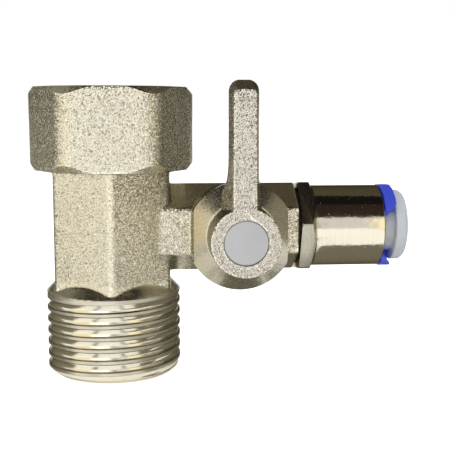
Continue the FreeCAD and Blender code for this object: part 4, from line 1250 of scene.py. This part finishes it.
def area_lamp(name, power, size, place, target):
    data = bpy.data.lights.new(name, "AREA")
    data.energy = power
    data.shape = "DISK"
    data.size = size
    lamp = bpy.data.objects.new(name, data)
    lamp.location = place
    lamp.rotation_euler = (Vector(target) - Vector(place)).to_track_quat("-Z", "Y").to_euler()
    bpy.context.scene.collection.objects.link(lamp)
    return lamp


def seen_as_background(n):
    ray = n.add("ShaderNodeLightPath").outputs
    seen = n.math("MAXIMUM", ray["Is Camera Ray"], ray["Is Glossy Ray"])
    return n.math("MAXIMUM", seen, ray["Is Transmission Ray"])


def make_camera(scene):
    data = bpy.data.cameras.new("photo_camera")
    data.sensor_width = SENSOR_WIDTH
    data.lens = FOCAL_PIXELS / IMAGE_PIXELS * SENSOR_WIDTH
    data.clip_start = 0.005
    camera = bpy.data.objects.new("photo_camera", data)
    turn = Matrix(CAMERA_AXES).transposed() @ Matrix.Rotation(CAMERA_ROLL, 3, "Z")
    camera.matrix_world = Matrix.Translation(CAMERA_PLACE) @ turn.to_4x4()
    scene.collection.objects.link(camera)
    scene.camera = camera


class VALVE_OT_stage(bpy.types.Operator):
    """Set up floor, cards, lamps, world and camera"""
    bl_idname = "valve.stage"
    bl_label = "Stage"

    def execute(self, context):
        scene, settings = context.scene, context.scene.valve_studio
        scene.view_settings.view_transform = "Standard"
        make_camera(scene)
        self.make_floor(settings)
        self.make_cards()
        self.make_table_cards()
        for name, size, place in LAMPS:
            lamp = area_lamp(name, getattr(settings, name), size, place, MIDDLE)
            lamp.visible_glossy = name == "key"
        world = bpy.data.worlds.new("studio")
        scene.world = world
        world.use_nodes = True
        n = Nodes(world.node_tree)
        n.fill(world.node_tree.nodes["Background"], Color=(1.0, 1.0, 1.0, 1.0),
               Strength=n.range(seen_as_background(n), 0.0, 1.0, settings.ambient, 1.0))
        return {"FINISHED"}

    # The floor is lifted to white where nothing shades it.
    def make_floor(self, settings):
        bm = bmesh.new()
        bmesh.ops.create_grid(bm, x_segments=1, y_segments=1, size=3.0)
        floor = new_object("floor", bm)
        floor.data.transform(Matrix.Translation((0.0, 0.0, -0.0002)))
        white = (1.0, 1.0, 1.0)
        material, n, shader = new_material(
            "pale_floor", Roughness=0.9, Specular_IOR_Level=0.0,
            Base_Color=rgba(white, settings.floor), Emission_Color=rgba(white))
        n.put(shader.inputs["Emission Strength"],
              n.math("MULTIPLY", seen_as_background(n), settings.floor_lift))
        floor.data.materials.append(material)

    # Cards round the object, as a studio sets them for bright metal; only
    # reflections see them. Angles are in degrees: round from the front towards
    # the outlet, and up over the top to the back.
    def make_cards(self):
        steps = range(CARD_STEPS + 1)
        for name, tone, radius, across, up, wrap in STUDIO_CARDS:
            bm = bmesh.new()
            rows = []
            for i in steps:
                a = math.radians(across[0] + (across[1] - across[0]) * i / CARD_STEPS)
                row = []
                for j in steps:
                    b = math.radians(up[0] + (up[1] - up[0]) * j / CARD_STEPS)
                    if wrap == "over":
                        # across is a half width along X, up turns about X
                        spot = (math.sin(a), -math.cos(a) * math.cos(b),
                                math.cos(a) * math.sin(b))
                    else:
                        spot = (math.sin(a) * math.cos(b), -math.cos(a) * math.cos(b),
                                math.sin(b))
                    row.append(bm.verts.new(Vector(MIDDLE) + radius * Vector(spot)))
                rows.append(row)
            for low, high in zip(rows, rows[1:]):
                for j in range(CARD_STEPS):
                    bm.faces.new((low[j], high[j], high[j + 1], low[j + 1]))
            self.set_card(new_object(name, bm), tone)

    def make_table_cards(self):
        for index, (name, tone, outline) in enumerate(TABLE_CARDS):
            bm = bmesh.new()
            level = -0.0001 + index * 0.00001
            bm.faces.new([bm.verts.new((x, y, level)) for x, y in outline])
            self.set_card(new_object(name, bm), tone)

    def set_card(self, card, tone):
        material, _, _ = new_material(
            card.name, Base_Color=(0.0, 0.0, 0.0, 1.0), Specular_IOR_Level=0.0,
            Emission_Color=rgba(tone), Emission_Strength=1.0)
        card.data.materials.append(material)
        for key in ("camera", "diffuse", "transmission", "volume_scatter", "shadow"):
            setattr(card, "visible_" + key, False)


class VALVE_PT_panel(bpy.types.Panel):
    bl_idname = "VALVE_PT_panel"
    bl_label = "Splitter valve"
    bl_space_type = "VIEW_3D"
    bl_region_type = "UI"
    bl_category = "Valve"

    def draw(self, context):
        for operator in OPERATORS:
            self.layout.operator(operator.bl_idname)
        for name in GROUPS:
            settings = getattr(context.scene, name)
            box = self.layout.box()
            for key in settings_of(settings):
                box.prop(settings, key)


OPERATORS = (VALVE_OT_forging, VALVE_OT_threads, VALVE_OT_lever, VALVE_OT_outlet,
             VALVE_OT_collet, VALVE_OT_inner_pieces, VALVE_OT_stage)
GROUPS = {
    "valve_forging": ForgingSizes,
    "valve_bores": BoreSizes,
    "valve_threads": ThreadSizes,
    "valve_lever": LeverSizes,
    "valve_outlet": OutletSizes,
    "valve_colours": FinishColours,
    "valve_studio": StudioSettings,
}


def register():
    for name, group in GROUPS.items():
        bpy.utils.register_class(group)
        setattr(bpy.types.Scene, name, PointerProperty(type=group))
    for item in OPERATORS + (VALVE_PT_panel,):
        bpy.utils.register_class(item)


def unregister():
    for item in reversed(OPERATORS + (VALVE_PT_panel,)):
        bpy.utils.unregister_class(item)
    for name, group in GROUPS.items():
        delattr(bpy.types.Scene, name)
        bpy.utils.unregister_class(group)


def main():
    register()
    bpy.ops.valve.forging()
    bpy.ops.valve.threads()
    bpy.ops.valve.lever()
    bpy.ops.valve.outlet()
    bpy.ops.valve.collet()
    bpy.ops.valve.inner_pieces()
    bpy.ops.valve.stage()


if __name__ == "__main__":
    main()
